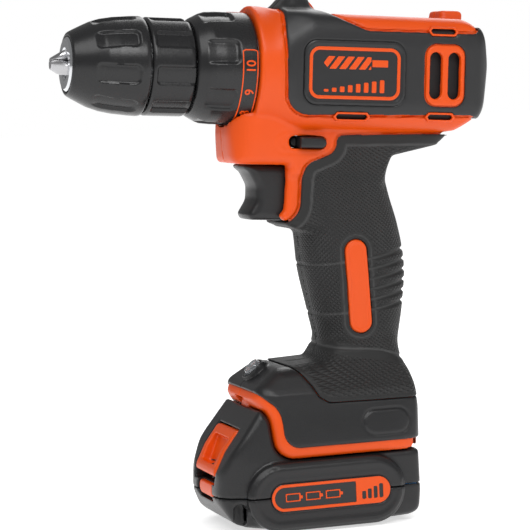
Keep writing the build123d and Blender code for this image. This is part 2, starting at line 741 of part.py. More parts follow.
# ---------------------------------------------------------------- motor
def motor_can():
    """Drawn steel can with a front boss, side windows and flat front face."""
    can = turned([
        (MOTOR_FRONT_U, 2.4), (MOTOR_FRONT_U, MOTOR_RADIUS - 0.8), (MOTOR_FRONT_U + 0.8, MOTOR_RADIUS),
        (MOTOR_REAR_U - 7, MOTOR_RADIUS), (MOTOR_REAR_U - 7, MOTOR_RADIUS - 1.0),
        (MOTOR_FRONT_U + 1.4, MOTOR_RADIUS - 1.0), (MOTOR_FRONT_U + 1.4, 4.6), (MOTOR_FRONT_U + 5.0, 4.6),
        (MOTOR_FRONT_U + 5.0, 2.4),
    ])
    window = prism(Plane.XY, stadium(MOTOR_FRONT_U + 3, MOTOR_FRONT_U + 9, -4, 4), 10, 30)
    for part in around(window, 2, 90):
        can = can - part
    return can


def motor_magnets():
    """Two arc magnets glued in the can."""
    ring = tube(MOTOR_RADIUS - 1.05, 13.4, 34, 62)
    pair = ring - block(30, 66, -20, 20, -4.5, 4.5)
    return pair


def motor_end_bell():
    """Plastic end cap with the rear bearing and the brush holders."""
    cap = turned([
        (MOTOR_REAR_U - 6.8, 14.0), (MOTOR_REAR_U - 6.8, MOTOR_RADIUS), (MOTOR_REAR_U, MOTOR_RADIUS - 1.4),
        (MOTOR_REAR_U, 5.0), (MOTOR_REAR_U + 2.4, 5.0), (MOTOR_REAR_U + 2.4, SHAFT_RADIUS + FIT),
        (MOTOR_REAR_U - 1.8, SHAFT_RADIUS + FIT), (MOTOR_REAR_U - 1.8, 14.0),
    ])
    tabs = [block(MOTOR_REAR_U - 2, MOTOR_REAR_U + 5, y - 2.4, y + 2.4, -0.4, 0.4) for y in (-11, 11)]
    return joined([cap] + tabs)


def motor_brushes():
    """Two carbon brushes that bear on the commutator."""
    brush = block(MOTOR_REAR_U - 12.5, MOTOR_REAR_U - 8, 4.65, 9.6, -2.0, 2.0)
    return Compound(children=[brush, mirrored(brush)])


def rotor_shaft():
    """Ground steel shaft."""
    return rod(SHAFT_RADIUS, STAGE_ONE[0] + 0.6, MOTOR_REAR_U + 2.0)


def rotor_core():
    """Slotted iron stack with its windings and cooling fan."""
    stack = rod(12.9, 36, 60) + rod(10.2, 32, 64)
    slot = block(35, 61, -1.0, 1.0, 10.6, 14)
    for part in around(slot, 5, 0):
        stack = stack - part
    fan = rod(4.0, 27.2, 32.2)
    blades = around(block(28.0, 31.4, -0.5, 0.5, 3.0, 14.4), 9)
    return joined([stack, fan] + blades) - rod(SHAFT_RADIUS, 0, 90)


def commutator():
    """Copper segments on a moulded hub."""
    barrel = tube(4.6, SHAFT_RADIUS, 64.2, 73.5)
    for part in around(block(64.0, 73.8, -0.15, 0.15, 4.0, 5.2), 5):
        barrel = barrel - part
    return barrel


# ---------------------------------------------------------------- controls in the handle
TRIGGER_SIDE = [
    (-26.6, -41.0, 1), (-21.2, -44.2, 4), (-17.0, -50.0, 6), (-17.0, -56.5, 6), (-19.9, -62.6, 1.8),
    (-18.4, -64.7, 1.2), (-2.0, -64.7, 1), (-2.0, -41.0, 1),
]


def trigger():
    """Curved trigger with its stem into the switch."""
    body = across(TRIGGER_SIDE, TRIGGER_HALF_WIDTH)
    plan = rounded_box(-30, 0, -TRIGGER_HALF_WIDTH, TRIGGER_HALF_WIDTH, 5)
    body = body & prism(Plane.XY, plan, -80, -20)
    body = body - block(-12.5, 0, -TRIGGER_HALF_WIDTH + 2, TRIGGER_HALF_WIDTH - 2, -62.7, -43.0)
    return body + rod(2.8, -14, 11.0, 0, -52)


def switch_body():
    """Sealed speed-control switch behind the trigger, holding the trigger's return spring."""
    body = block(8.2, 35.8, -9.5, 9.5, -65.8, -43.2)
    body = body - rod(2.8 + 0.3, 7, 8.2 + TRIGGER_TRAVEL + 5, 0, -52)
    tabs = [block(35, 40, y - 2, y + 2, -60.4, -59.6) for y in (-5, 5)]
    return joined([body] + tabs)


def direction_selector():
    """Push-through bar that reverses the motor, locked in the middle."""
    bar = prism(Plane.XZ, stadium(-2.6, 11.6, -33.1, -28.3), -22.6, 22.6)
    return bar - block(-4, 13, -3, 3, -31.2, -20)


# ---------------------------------------------------------------- battery
BATTERY_SIDE = [
    (-14.0, 0.0, 24), (-33.0, 4.6, 10), (-39.6, 16.0, 8), (-38.6, 25.0, 14), (-34.6, 35.0, 20),
    (-22.2, 54.4, 0.8), (-15.3, 43.0, 20), (-7.1, 32.4, 4), (-3.3, SKIRT_Z - GAP, 2.5),
    (52.6, SKIRT_Z - GAP, 2), (53.0, 12.0, 6), (51.6, 0.0, 3),
]
POD = (-26.7, 42.8, 2.5, 30.6)
LABEL = (-18.7, 35.3, 9.8, 22.0)


def battery_form(amount=0.0):
    """Outside of the battery below its rail."""
    front_view = [
        (-BATTERY_HALF_WIDTH, 0, 7), (BATTERY_HALF_WIDTH, 0, 7), (BATTERY_HALF_WIDTH, 34, 8),
        (22.0, 60, 3), (-22.0, 60, 3), (-BATTERY_HALF_WIDTH, 34, 8),
    ]
    plan = [
        (-39.8, -25.0, 11), (-26.0, -BATTERY_HALF_WIDTH, 14), (53.2, -BATTERY_HALF_WIDTH, 10),
        (53.2, BATTERY_HALF_WIDTH, 10), (-26.0, BATTERY_HALF_WIDTH, 14), (-39.8, 25.0, 11),
    ]
    body = across(BATTERY_SIDE, BATTERY_HALF_WIDTH, amount)
    body = body & prism(Plane.YZ, front_view, -60, 70, amount) & prism(Plane.XY, plan, -5, 70, amount)
    return body


def pods():
    """Long raised pads over the outer cells."""
    slab = prism(Plane.XZ, stadium(*POD), BATTERY_HALF_WIDTH - 3, POD_HALF_WIDTH)
    top = prism(Plane.XZ, stadium(*POD), BATTERY_HALF_WIDTH - 3, POD_HALF_WIDTH, -2.2)
    slab = (slab & block(-60, 60, -POD_HALF_WIDTH + 0.9, 0, -10, 60)) + top
    return slab + mirrored(slab)


def label_seats(amount, depth):
    """Slot-shaped seats of the two side labels."""
    seat = prism(Plane.XZ, stadium(*LABEL), POD_HALF_WIDTH - depth, POD_HALF_WIDTH + 2, amount)
    return seat + mirrored(seat)


def latch_room(amount=0.0):
    """Well in the nose that the release button moves in."""
    corners = [
        (-41.0, LATCH_FLOOR, 1), (-41.0, 60.0, 1), (-14.0, 60.0, 1), (-14.0, 46.0, 2), (-18.0, 40.0, 2),
        (-24.0, 30.0, 2), (-28.4, LATCH_FLOOR, 1),
    ]
    return across(corners, LATCH_HALF_WIDTH + 0.4, amount)


def battery_cases():
    """Upper and lower halves of the battery case."""
    form = battery_form() + pods()
    hollow = battery_form(-2.0) & block(-28, 60, -40, 40, 0, 30)
    hollow = hollow - latch_room(2.0)
    shell = form - hollow - label_seats(0.1, 0.6) - latch_room()
    lower = shell & block(-60, 70, -40, 40, -5, SEAM_Z)
    upper = shell & block(-60, 70, -40, 40, SEAM_Z, 70)
    rail = block(0.5, 46.0, -18.2, 18.2, 31.0, 36.0) + block(0.5, 46.0, -15.4, 15.4, 35.8, 40.0)
    rail = rail + block(0.5, 46.0, -18.2, 18.2, 39.6, RAIL_TOP)
    for y in (-9.0, 0.0, 9.0):
        rail = rail - block(22.0, 50.0, y - 1.6, y + 1.6, 34.0, RAIL_TOP - 1.6)
    upper = upper + rail
    return largest(upper), largest(lower)


def battery_cells():
    """Three round cells side by side with their welded straps."""
    front, rear = CELL_FRONT, CELL_FRONT + CELL_LENGTH
    cells = [rod(CELL_RADIUS, front, rear, y, 13.4) for y in (-19.0, 0.0, 19.0)]
    rear_strap = block(rear, rear + 0.3, -21.0, 2.0, 10.0, 16.0)
    front_strap = block(front - 0.3, front, -2.0, 21.0, 10.0, 16.0)
    return Compound(children=cells + [rear_strap, front_strap])


def battery_terminals():
    """Spring contacts inside the rail's three slots."""
    clips = []
    for y in (-9.0, 0.0, 9.0):
        for side in (-1, 1):
            clips.append(block(24.0, 38.0, y + side * 1.05 - 0.3, y + side * 1.05 + 0.3, 34.4, 40.0))
        clips.append(block(22.2, 24.4, y - 1.4, y + 1.4, 34.4, 40.0))
    return Compound(children=[joined(clips[i:i + 3]) for i in range(0, len(clips), 3)])


def tool_terminals():
    """Block in the foot with three blades that enter the battery."""
    base = block(46.9, 50.4, -14.0, 14.0, 40.2, 52.0)
    arm = block(40.0, 47.5, -14.0, 14.0, RAIL_TOP + 0.6, 52.0)
    blades = [block(30.0, 47.2, y - 0.4, y + 0.4, 40.4 - 4.4, 41.4) for y in (-9.0, 0.0, 9.0)]
    return joined([base, arm] + blades)


def battery_latch():
    """Release button with the catch that holds the battery in the foot."""
    corners = [
        (-36.4, 24.6, 1), (-35.8, 33.0, 3), (-25.6, 48.6, 2), (-21.4, 54.0, 1), (-21.0, KEEPER_Z - 0.3, 0.4),
        (-17.6, KEEPER_Z - 0.3, 0.4), (-20.8, 46.2, 2), (-28.0, 37.0, 2), (-30.2, 24.6, 1),
    ]
    button = across(corners, LATCH_HALF_WIDTH)
    thumb_recess = across([(-44, 31, 4), (-36, 43, 4), (-29.5, 40, 3), (-33.6, 31.5, 3)], 11)
    spring_well = Pos(SPRING_X, 0, 27.4) * Cylinder(2.2, 6.4)
    return button - thumb_recess - spring_well


def latch_spring():
    """Coil that lifts the release button."""
    wire = 0.32
    path = Helix(pitch=1.9, height=8.4, radius=1.5, center=(SPRING_X, 0, LATCH_FLOOR + 0.05 + wire))
    return coil(path, wire)


def battery_labels():
    """Blank slot-shaped plates on the battery's sides."""
    plates = label_seats(0.0, 0.6) & block(-60, 60, -POD_HALF_WIDTH + 0.0, POD_HALF_WIDTH, 0, 40)
    return Compound(children=list(plates.solids()))


# ---------------------------------------------------------------- write every node
def main():
    """Build and write all nodes."""
    lamp_room = work_light_pocket(0.15)
    core = body_form()
    left, right = housing_pair()
    save("left_housing", largest(left - lamp_room))
    save("right_housing", largest(right - lamp_room))

    cover = side_cover(core)
    save("left_side_cover", cover)
    save("right_side_cover", mirrored(cover))
    plate = badge(0.6)
    save("left_badge", plate)
    save("right_badge", mirrored(plate))
    frame = vent_frame(core)
    save("left_vent_frame", frame)
    save("right_vent_frame", mirrored(frame))
    rubber = grip(core)
    save("left_grip", rubber)
    save("right_grip", mirrored(rubber))
    bar = grip_insert(core)
    save("left_grip_insert", bar)
    save("right_grip_insert", mirrored(bar))
    foot = largest(foot_cover(core) - lamp_room)
    save("left_foot_cover", foot)
    save("right_foot_cover", mirrored(foot))
    save("work_light_lens", work_light_lens())
    save("work_light_board", work_light_board())
    save("housing_screws", housing_screws())

    save("gearbox_housing", on_barrel(gearbox_housing()))
    save("ring_gear_first", on_barrel(ring_gear(*STAGE_ONE, 18.6)))
    save("ring_gear_second", on_barrel(ring_gear(*STAGE_TWO, 18.6)))
    for letter, angle in zip("abc", planet_angles()):
        save(f"planet_first_{letter}", on_barrel(planet(STAGE_ONE, angle)))
        save(f"planet_second_{letter}", on_barrel(planet(STAGE_TWO, angle)))
    save("first_carrier", on_barrel(first_carrier()))
    save("output_spindle", on_barrel(output_spindle()))
    save("spindle_bearing", on_barrel(spindle_bearing()))
    save("clutch_pins", on_barrel(clutch_pins()))
    save("clutch_spring", on_barrel(clutch_spring()))
    save("clutch_nut", on_barrel(clutch_nut()))
    save("clutch_collar", on_barrel(clutch_collar()))

    save("chuck_body", on_barrel(chuck_body()))
    save("chuck_screw", on_barrel(chuck_screw()))
    save("chuck_nut", on_barrel(chuck_nut()))
    save("front_sleeve", on_barrel(front_sleeve()))
    save("rear_sleeve", on_barrel(rear_sleeve()))
    for letter, angle in zip("abc", jaw_angles()):
        save(f"jaw_{letter}", on_barrel(jaw(angle)))

    save("motor_can", on_barrel(motor_can()))
    save("motor_magnets", on_barrel(motor_magnets()))
    save("motor_end_bell", on_barrel(motor_end_bell()))
    save("motor_brushes", on_barrel(motor_brushes()))
    save("rotor_shaft", on_barrel(rotor_shaft()))
    save("rotor_core", on_barrel(rotor_core()))
    save("commutator", on_barrel(commutator()))
    save("motor_pinion", on_barrel(motor_pinion()))

    save("switch_body", on_barrel(switch_body()))
    save("trigger", on_barrel(trigger()))
    save("direction_selector", on_barrel(direction_selector()))
    save("tool_terminals", tool_terminals())

    upper, lower = battery_cases()
    save("battery_upper_case", upper)
    save("battery_lower_case", lower)
    save("battery_cells", battery_cells())
    save("battery_latch", battery_latch())
    save("latch_spring", latch_spring())
    save("battery_terminals", battery_terminals())
    save("battery_labels", battery_labels())


main()
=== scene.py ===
"""Looks of the compact cordless drill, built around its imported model.

Every size below is in millimetres and is turned into metres when a mesh is made. The drill's frame has +Z up,
the chuck along -X and the drill's left side along -Y. The barrel has a frame of its own: u runs rearwards
along the spindle axis and w is height above that axis. Shells are made from signed distances (negative
inside), sampled on a grid for the half with y above 0 and mirrored to the other side.
"""

import logging
import math
from dataclasses import dataclass, field
from enum import Enum
from typing import Any, Callable, ClassVar, Iterable, Sequence

import bmesh
import bpy
import numpy as np
import openvdb
from mathutils import Matrix, Vector


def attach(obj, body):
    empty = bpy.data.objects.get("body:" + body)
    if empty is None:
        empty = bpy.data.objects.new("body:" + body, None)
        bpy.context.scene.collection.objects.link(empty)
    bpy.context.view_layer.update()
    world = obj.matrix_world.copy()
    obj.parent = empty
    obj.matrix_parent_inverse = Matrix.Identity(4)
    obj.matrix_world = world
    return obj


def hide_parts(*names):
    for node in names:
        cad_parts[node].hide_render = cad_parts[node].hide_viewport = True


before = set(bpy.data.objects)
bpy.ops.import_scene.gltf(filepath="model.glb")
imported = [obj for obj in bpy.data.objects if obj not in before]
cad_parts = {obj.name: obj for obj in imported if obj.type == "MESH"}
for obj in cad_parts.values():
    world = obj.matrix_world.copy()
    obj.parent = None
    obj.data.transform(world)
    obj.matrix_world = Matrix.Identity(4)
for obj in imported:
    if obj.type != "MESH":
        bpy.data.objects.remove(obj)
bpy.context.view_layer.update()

LOG = logging.getLogger("drill")
MM = 0.001
WHITE = (1.0, 1.0, 1.0, 1.0)
Array = np.ndarray
Corner = tuple[float, float, float]
Distance = Callable[[Array, Array, Array], Array]

BARREL_TILT = math.radians(4.1)
AXIS_X, AXIS_Z = 7.3, 196.8
SEAM = -0.03  # where the halves end in y: just past the middle, so that no light comes through


class Side(Enum):
    """The two sides of the drill, with the sign of y."""

    LEFT = -1
    RIGHT = 1


# ---------------------------------------- distances
def round_max(a: Array, b: Array, radius: float) -> Array:
    """Intersection of two shapes with a rounded edge.

    Args:
        a: Distance to the first shape.
        b: Distance to the second shape.
        radius: Radius of the edge between them.

    Returns:
        Distance to what both shapes share.
    """
    inside = np.minimum(np.maximum(a, b), -radius)
    return inside + np.hypot(np.maximum(a + radius, 0.0), np.maximum(b + radius, 0.0))


def round_min(a: Array, b: Array, radius: float) -> Array:
    """Union of two shapes with a fillet where they meet.

    Args:
        a: Distance to the first shape.
        b: Distance to the second shape.
        radius: Radius of the fillet.

    Returns:
        Distance to the two shapes together.
    """
    return -round_max(-a, -b, radius)


def ramp(value: Array, low: float, high: float) -> Array:
    """Smooth step from 0 at low to 1 at high."""
    t = np.clip((value - low) / (high - low), 0.0, 1.0)
    return t * t * (3.0 - 2.0 * t)


def rounded_rect(a: Array, b: Array, half_a: float, half_b: float, radius: float) -> Array:
    """Distance to a rounded rectangle about the origin."""
    qa = np.abs(a) - (half_a - radius)
    qb = np.abs(b) - (half_b - radius)
    outside = np.hypot(np.maximum(qa, 0.0), np.maximum(qb, 0.0))
    return outside + np.minimum(np.maximum(qa, qb), 0.0) - radius


def capsule(x: Array, z: Array, x0: float, z0: float, x1: float, z1: float) -> Array:
    """Distance to a straight line between two points in a plane."""
    dx, dz = x1 - x0, z1 - z0
    t = np.clip(((x - x0) * dx + (z - z0) * dz) / (dx * dx + dz * dz), 0.0, 1.0)
    return np.hypot(x - x0 - t * dx, z - z0 - t * dz)


def path_distance(x: Array, z: Array, points: Sequence[tuple[float, float]]) -> Array:
    """Distance to a smooth open path through a few points."""
    fine = smooth_path(points)
    best = np.full(np.broadcast(x, z).shape, 1e9)
    for start, end in zip(fine[:-1], fine[1:]):
        best = np.minimum(best, capsule(x, z, *start, *end))
    return best


def smooth_path(points: Sequence[tuple[float, float]], steps: int = 5) -> list[tuple[float, float]]:
    """Catmull-Rom curve through a few points."""
    knots = np.array([points[0], *points, points[-1]], dtype=float)
    fine: list[tuple[float, float]] = []
    for i in range(1, len(knots) - 2):
        p0, p1, p2, p3 = knots[i - 1:i + 3]
        for k in range(steps):
            t = k / steps
            bend = 2 * p0 - 5 * p1 + 4 * p2 - p3 + t * (3 * (p1 - p2) + p3 - p0)
            curve = p1 + 0.5 * t * (p2 - p0 + t * bend)
            fine.append((float(curve[0]), float(curve[1])))
    fine.append((float(knots[-1][0]), float(knots[-1][1])))
    return fine


def through(z: Array, knots: Sequence[tuple[float, ...]], column: int) -> Array:
    """Smooth value at a height, through a column of a table of stations."""
    heights = np.array([knot[0] for knot in knots])
    values = np.array([knot[column] for knot in knots])
    slopes = np.gradient(values, heights)
    index = np.clip(np.searchsorted(heights, z) - 1, 0, len(heights) - 2)
    span = heights[index + 1] - heights[index]
    t = np.clip((z - heights[index]) / span, 0.0, 1.0)
    a, b = values[index], values[index + 1]
    ma, mb = slopes[index] * span, slopes[index + 1] * span
    return a + t * (ma + t * (3 * (b - a) - 2 * ma - mb + t * (2 * (a - b) + ma + mb)))


@dataclass(frozen=True)
class Outline:
    """Closed outline of straight runs joined by tangent arcs.

    Attributes:
        corners: One (a, b, radius) for each corner, in order.
    """

    corners: tuple[Corner, ...]

    def points(self, step: float = 1.2) -> Array:
        """Points along the outline, with its arcs divided into short steps."""
        found: list[Array] = []
        count = len(self.corners)
        for i, (a, b, radius) in enumerate(self.corners):
            here = np.array([a, b])
            back = np.array(self.corners[i - 1][:2]) - here
            ahead = np.array(self.corners[(i + 1) % count][:2]) - here
            la, lb = np.linalg.norm(back), np.linalg.norm(ahead)
            back, ahead = back / la, ahead / lb
            half = math.acos(float(np.clip(back @ ahead, -1, 1))) / 2
            reach = min(radius / math.tan(half), 0.49 * la, 0.49 * lb)
            radius = reach * math.tan(half)
            if radius < 0.05:
                found.append(here)
                continue
            middle = here + (back + ahead) / np.linalg.norm(back + ahead) * radius / math.sin(half)
            start, end = here + back * reach - middle, here + ahead * reach - middle
            angle = math.atan2(start[0] * end[1] - start[1] * end[0], float(start @ end))
            steps = max(2, int(abs(angle) * radius / step) + 1)
            for k in range(steps + 1):
                turn = angle * k / steps
                c, s = math.cos(turn), math.sin(turn)
                found.append(middle + np.array([c * start[0] - s * start[1], s * start[0] + c * start[1]]))
        return np.array(found)

    def distance(self, a: Array, b: Array) -> Array:
        """Signed distance to the outline, negative inside."""
        points = self.points()
        a, b = np.broadcast_arrays(np.asarray(a, float), np.asarray(b, float))
        best = np.full(a.shape, 1e18)
        inside = np.zeros(a.shape, dtype=bool)
        for (x0, y0), (x1, y1) in zip(points, np.roll(points, -1, axis=0)):
            dx, dy = x1 - x0, y1 - y0
            if dx * dx + dy * dy < 1e-12:
                continue
            t = np.clip(((a - x0) * dx + (b - y0) * dy) / (dx * dx + dy * dy), 0.0, 1.0)
            best = np.minimum(best, (a - x0 - t * dx) ** 2 + (b - y0 - t * dy) ** 2)
            if y0 != y1:
                crosses = (y0 > b) != (y1 > b)
                inside ^= crosses & (a < x0 + (b - y0) * dx / dy)
        return np.where(inside, -np.sqrt(best), np.sqrt(best))


def to_barrel(x: Array, z: Array) -> tuple[Array, Array]:
    """Barrel coordinates (u, w) of points given in the drill's frame."""
    c, s = math.cos(BARREL_TILT), math.sin(BARREL_TILT)
    dx, dz = x - AXIS_X, z - AXIS_Z
    return dx * c - dz * s, dx * s + dz * c


def barrel_matrix() -> Matrix:
    """Placement of the barrel frame, in metres."""
    place = Matrix.Translation((AXIS_X * MM, 0.0, AXIS_Z * MM))
    return place @ Matrix.Rotation(BARREL_TILT, 4, "Y")


# ---------------------------------------- meshes
def add_object(name: str, data: Any) -> Any:
    """Put an object with the given data into the scene."""
    made = bpy.data.objects.new(name, data)
    bpy.context.scene.collection.objects.link(made)
    return made


def on_barrel(points: Array) -> Array:
    """Points of the barrel frame, in millimetres, as metres in the drill's frame."""
    place = np.array(barrel_matrix())
    return points * MM @ place[:3, :3].T + place[:3, 3]


def link_mesh(name: str, vertices: Array, faces: Iterable[Sequence[int]], smooth: float | None = 40.0) -> Any:
    """Make an object from vertices in metres.

    Args:
        name: Name of the object and its mesh.
        vertices: Points, one row each.
        faces: Vertex indices of each face.
        smooth: Angle in degrees above which an edge stays sharp, or None for flat faces.

    Returns:
        The new object.
    """
    mesh = bpy.data.meshes.new(name)
    mesh.from_pydata(np.asarray(vertices).tolist(), [], [list(map(int, f)) for f in faces])
    mesh.update()
    piece = add_object(name, mesh)
    if smooth is not None:
        mesh.shade_smooth()
        mesh.set_sharp_from_angle(angle=math.radians(smooth))
    return piece


@dataclass
class Moulding:
    """A shell sampled from a signed distance and skinned with quads.

    Attributes:
        low: Lowest corner of the sampled box.
        high: Highest corner of the sampled box.
        step: Grid spacing.
    """

    low: tuple[float, float, float]
    high: tuple[float, float, float]
    step: float = 0.6

    def grid(self) -> tuple[Array, Array, Array]:
        """Broadcastable coordinates of the grid."""
        axes = []
        for a, b in zip(self.low, self.high):
            axes.append(a + self.step * np.arange(int(math.ceil((b - a) / self.step)) + 1))
        return axes[0][:, None, None], axes[1][None, :, None], axes[2][None, None, :]

    def skin(self, distance: Distance) -> tuple[Array, Array]:
        """Vertices in millimetres and quads of the surface, facing outwards."""
        x, y, z = self.grid()
        value = np.broadcast_to(distance(x, y, z), (x.size, y.size, z.size))
        band = np.clip(value / self.step, -3.0, 3.0).astype(np.float32)
        grid = openvdb.FloatGrid(background=3.0)
        grid.copyFromArray(np.ascontiguousarray(band))
        vertices, quads = grid.convertToQuads()
        vertices = vertices * self.step + np.array(self.low)
        a, b, c = (vertices[quads[:, k]] for k in range(3))
        volume = np.einsum("ij,ij->i", a, np.cross(b, c)).sum()
        return vertices, quads if volume > 0 else quads[:, ::-1]

    def build(self, name: str, distance: Distance) -> Any:
        """One piece from a distance."""
        vertices, quads = self.skin(distance)
        LOG.info("%s: %d quads", name, len(quads))
        return link_mesh(name, vertices * MM, quads)

    def pair(self, name: str, distance: Distance) -> dict[Side, Any]:
        """The piece for each side, from the distance of the half with y above 0."""
        vertices, quads = self.skin(distance)
        LOG.info("left and right %s: %d quads each", name, len(quads))
        made = {}
        for side in Side:
            points = vertices * np.array([1.0, side.value, 1.0]) * MM
            faces = quads if side is Side.RIGHT else quads[:, ::-1]
            made[side] = link_mesh(f"{side.name.lower()}_{name}_shell", points, faces)
        return made


def store(piece: Any, name: str, values: Array) -> None:
    """Store one number for each vertex of a piece, for its material to read."""
    layer = piece.data.attributes.new(name, "FLOAT", "POINT")
    layer.data.foreach_set("value", np.asarray(values, dtype=np.float32))


def points_mm(piece: Any) -> Array:
    """Vertices of a piece in millimetres."""
    flat = np.empty(len(piece.data.vertices) * 3)
    piece.data.vertices.foreach_get("co", flat)
    return flat.reshape(-1, 3) / MM


def dress(piece: Any, material: Any, body: str, slot: str, *replaced: str) -> None:
    """Give a finished piece its material and body, and hide the nodes that it stands for."""
    piece.data.materials.clear()
    piece.data.materials.append(material)
    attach(piece, body)
    for node in replaced:
        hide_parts(node)
    LOG.info("%s rides on %s", piece.name, body)


# ---------------------------------------- shader maths
class Wire:
    """A shader value with Python operators; each one adds a Math node."""

    def __init__(self, shade: "Shade", socket: Any) -> None:
        """Wrap one output socket."""
        self.shade = shade
        self.socket = socket

    def maths(self, operation: str, *others: "Wire | float") -> "Wire":
        """Result of a Math node on this value and others."""
        values = dict(enumerate((self, *others)))
        return self.shade.node("ShaderNodeMath", {"operation": operation}, values).out(0)

    def __add__(self, other: "Wire | float") -> "Wire":
        """Sum."""
        return self.maths("ADD", other)

    def __radd__(self, other: float) -> "Wire":
        """Sum with a number on the left."""
        return self.maths("ADD", other)

    def __sub__(self, other: "Wire | float") -> "Wire":
        """Difference."""
        return self.maths("SUBTRACT", other)

    def __rsub__(self, other: float) -> "Wire":
        """Difference from a number on the left."""
        return self.shade.number(other).maths("SUBTRACT", self)

    def __mul__(self, other: "Wire | float") -> "Wire":
        """Product."""
        return self.maths("MULTIPLY", other)

    def __rmul__(self, other: float) -> "Wire":
        """Product with a number on the left."""
        return self.maths("MULTIPLY", other)

    def clamp(self, low: float = 0.0, high: float = 1.0) -> "Wire":
        """Value kept between two limits."""
        return self.maths("MAXIMUM", low).maths("MINIMUM", high)


class Placed:
    """A node that has been added, with access to its outputs."""

    def __init__(self, shade: "Shade", node: Any) -> None:
        """Wrap one node."""
        self.shade = shade
        self.node = node

    def out(self, key: int | str = 0) -> Wire:
        """One output as a value."""
        return Wire(self.shade, self.node.outputs[key])


class Shade:
    """Node tree of one material."""

    def __init__(self, name: str) -> None:
        """Start an empty material."""
        self.material = bpy.data.materials.new(name)
        self.material.use_nodes = True
        self.tree = self.material.node_tree
        self.tree.nodes.clear()

    def node(self, kind: str, settings: dict[str, Any] | None = None,
             values: dict[int | str, Any] | None = None) -> Placed:
        """Add a node.

        Args:
            kind: Type of the node.
            settings: Properties, set before anything is linked.
            values: Number, colour or Wire for each input socket.

        Returns:
            The node, wrapped.
        """
        node = self.tree.nodes.new(kind)
        for key, value in (settings or {}).items():
            setattr(node, key, value)
        for key, value in (values or {}).items():
            if isinstance(value, Wire):
                self.tree.links.new(value.socket, node.inputs[key])
            else:
                node.inputs[key].default_value = value
        return Placed(self, node)

    def number(self, value: float) -> Wire:
        """A plain number as a value."""
        return self.node("ShaderNodeMath", {"operation": "ADD"}, {0: value, 1: 0.0}).out(0)

    def place(self) -> Wire:
        """Object coordinates."""
        return self.node("ShaderNodeTexCoord").out("Object")

    def noise(self, scale: float, detail: float = 3.0, roughness: float = 0.55) -> Wire:
        """Fractal noise between 0 and 1, with its scale per metre."""
        values = {"Vector": self.place(), "Scale": scale, "Detail": detail, "Roughness": roughness}
        return self.node("ShaderNodeTexNoise", None, values).out("Fac")

    def stored(self, name: str) -> Wire:
        """Number stored on the vertices of the piece."""
        return self.node("ShaderNodeAttribute", {"attribute_name": name}).out("Fac")

    def edges(self) -> Wire:
        """0 on flat and hollow places, rising to 1 on convex edges."""
        point = self.node("ShaderNodeNewGeometry").out("Pointiness")
        return ((point - 0.52) * 12.0).clamp()

    def mix(self, factor: Wire | float, first: Any, second: Any) -> Wire:
        """Blend of two colours."""
        values = {0: factor, 6: first, 7: second}
        return self.node("ShaderNodeMix", {"data_type": "RGBA"}, values).out(2)

    def bump(self, height: Wire, depth: float, below: Wire | None = None) -> Wire:
        """Normal bent by a height given in parts of a depth in metres."""
        values: dict[int | str, Any] = {"Height": height, "Distance": depth, "Strength": 1.0}
        if below is not None:
            values["Normal"] = below
        return self.node("ShaderNodeBump", None, values).out("Normal")

    def finish(self, settings: dict[str, Any]) -> Any:
        """Close the material with a Principled BSDF.

        Args:
            settings: Value or Wire for each socket of the shader.

        Returns:
            The material.
        """
        shader = self.node("ShaderNodeBsdfPrincipled", None, settings)
        output = self.tree.nodes.new("ShaderNodeOutputMaterial")
        self.tree.links.new(shader.out("BSDF").socket, output.inputs["Surface"])
        return self.material


def linear(red: int, green: int, blue: int) -> tuple[float, float, float, float]:
    """Scene colour from display values of 0 to 255."""
    def one(value: int) -> float:
        """Undo the display curve of one channel."""
        v = value / 255
        return v / 12.92 if v <= 0.04045 else ((v + 0.055) / 1.055) ** 2.4
    return one(red), one(green), one(blue), 1.0


def tinted(colour: Sequence[float], factor: float) -> tuple[float, float, float, float]:
    """A colour made lighter or darker."""
    return colour[0] * factor, colour[1] * factor, colour[2] * factor, 1.0


# ---------------------------------------- finishes
@dataclass(frozen=True)
class MouldedPlastic:
    """Injection-moulded plastic with a fine spark grain, handling marks and dulled edges.

    Attributes:
        name: Name of the material.
        colour: Colour of the plastic.
        gloss: Roughness of a clean face.
        grain: Depth of the grain in metres.
        scale: Size of the grain, per metre.
        wear: How much lighter the edges are.
    """

    name: str
    colour: tuple[float, float, float, float]
    gloss: float = 0.4
    grain: float = 0.00004
    scale: float = 2600.0
    wear: float = 0.35

    def make(self) -> Any:
        """Build the material."""
        shade = Shade(self.name)
        cloud, grain = shade.noise(38.0, 4.0), shade.noise(self.scale, 2.0)
        scuff = shade.noise(420.0, 5.0, 0.7)
        base = shade.mix(cloud, tinted(self.colour, 0.93), tinted(self.colour, 1.06))
        worn = (shade.edges() * (scuff * 1.6 - 0.3).clamp() * self.wear).clamp()
        base = shade.mix(worn, base, tinted(self.colour, 1.7))
        rough = (self.gloss + (cloud - 0.5) * 0.12 + (scuff - 0.5) * 0.1).clamp(0.08, 1.0)
        normal = shade.bump(grain, self.grain, shade.bump(scuff, self.grain * 0.6))
        return shade.finish({"Base Color": base, "Roughness": rough, "Normal": normal,
                             "Specular IOR Level": 0.42, "IOR": 1.48})


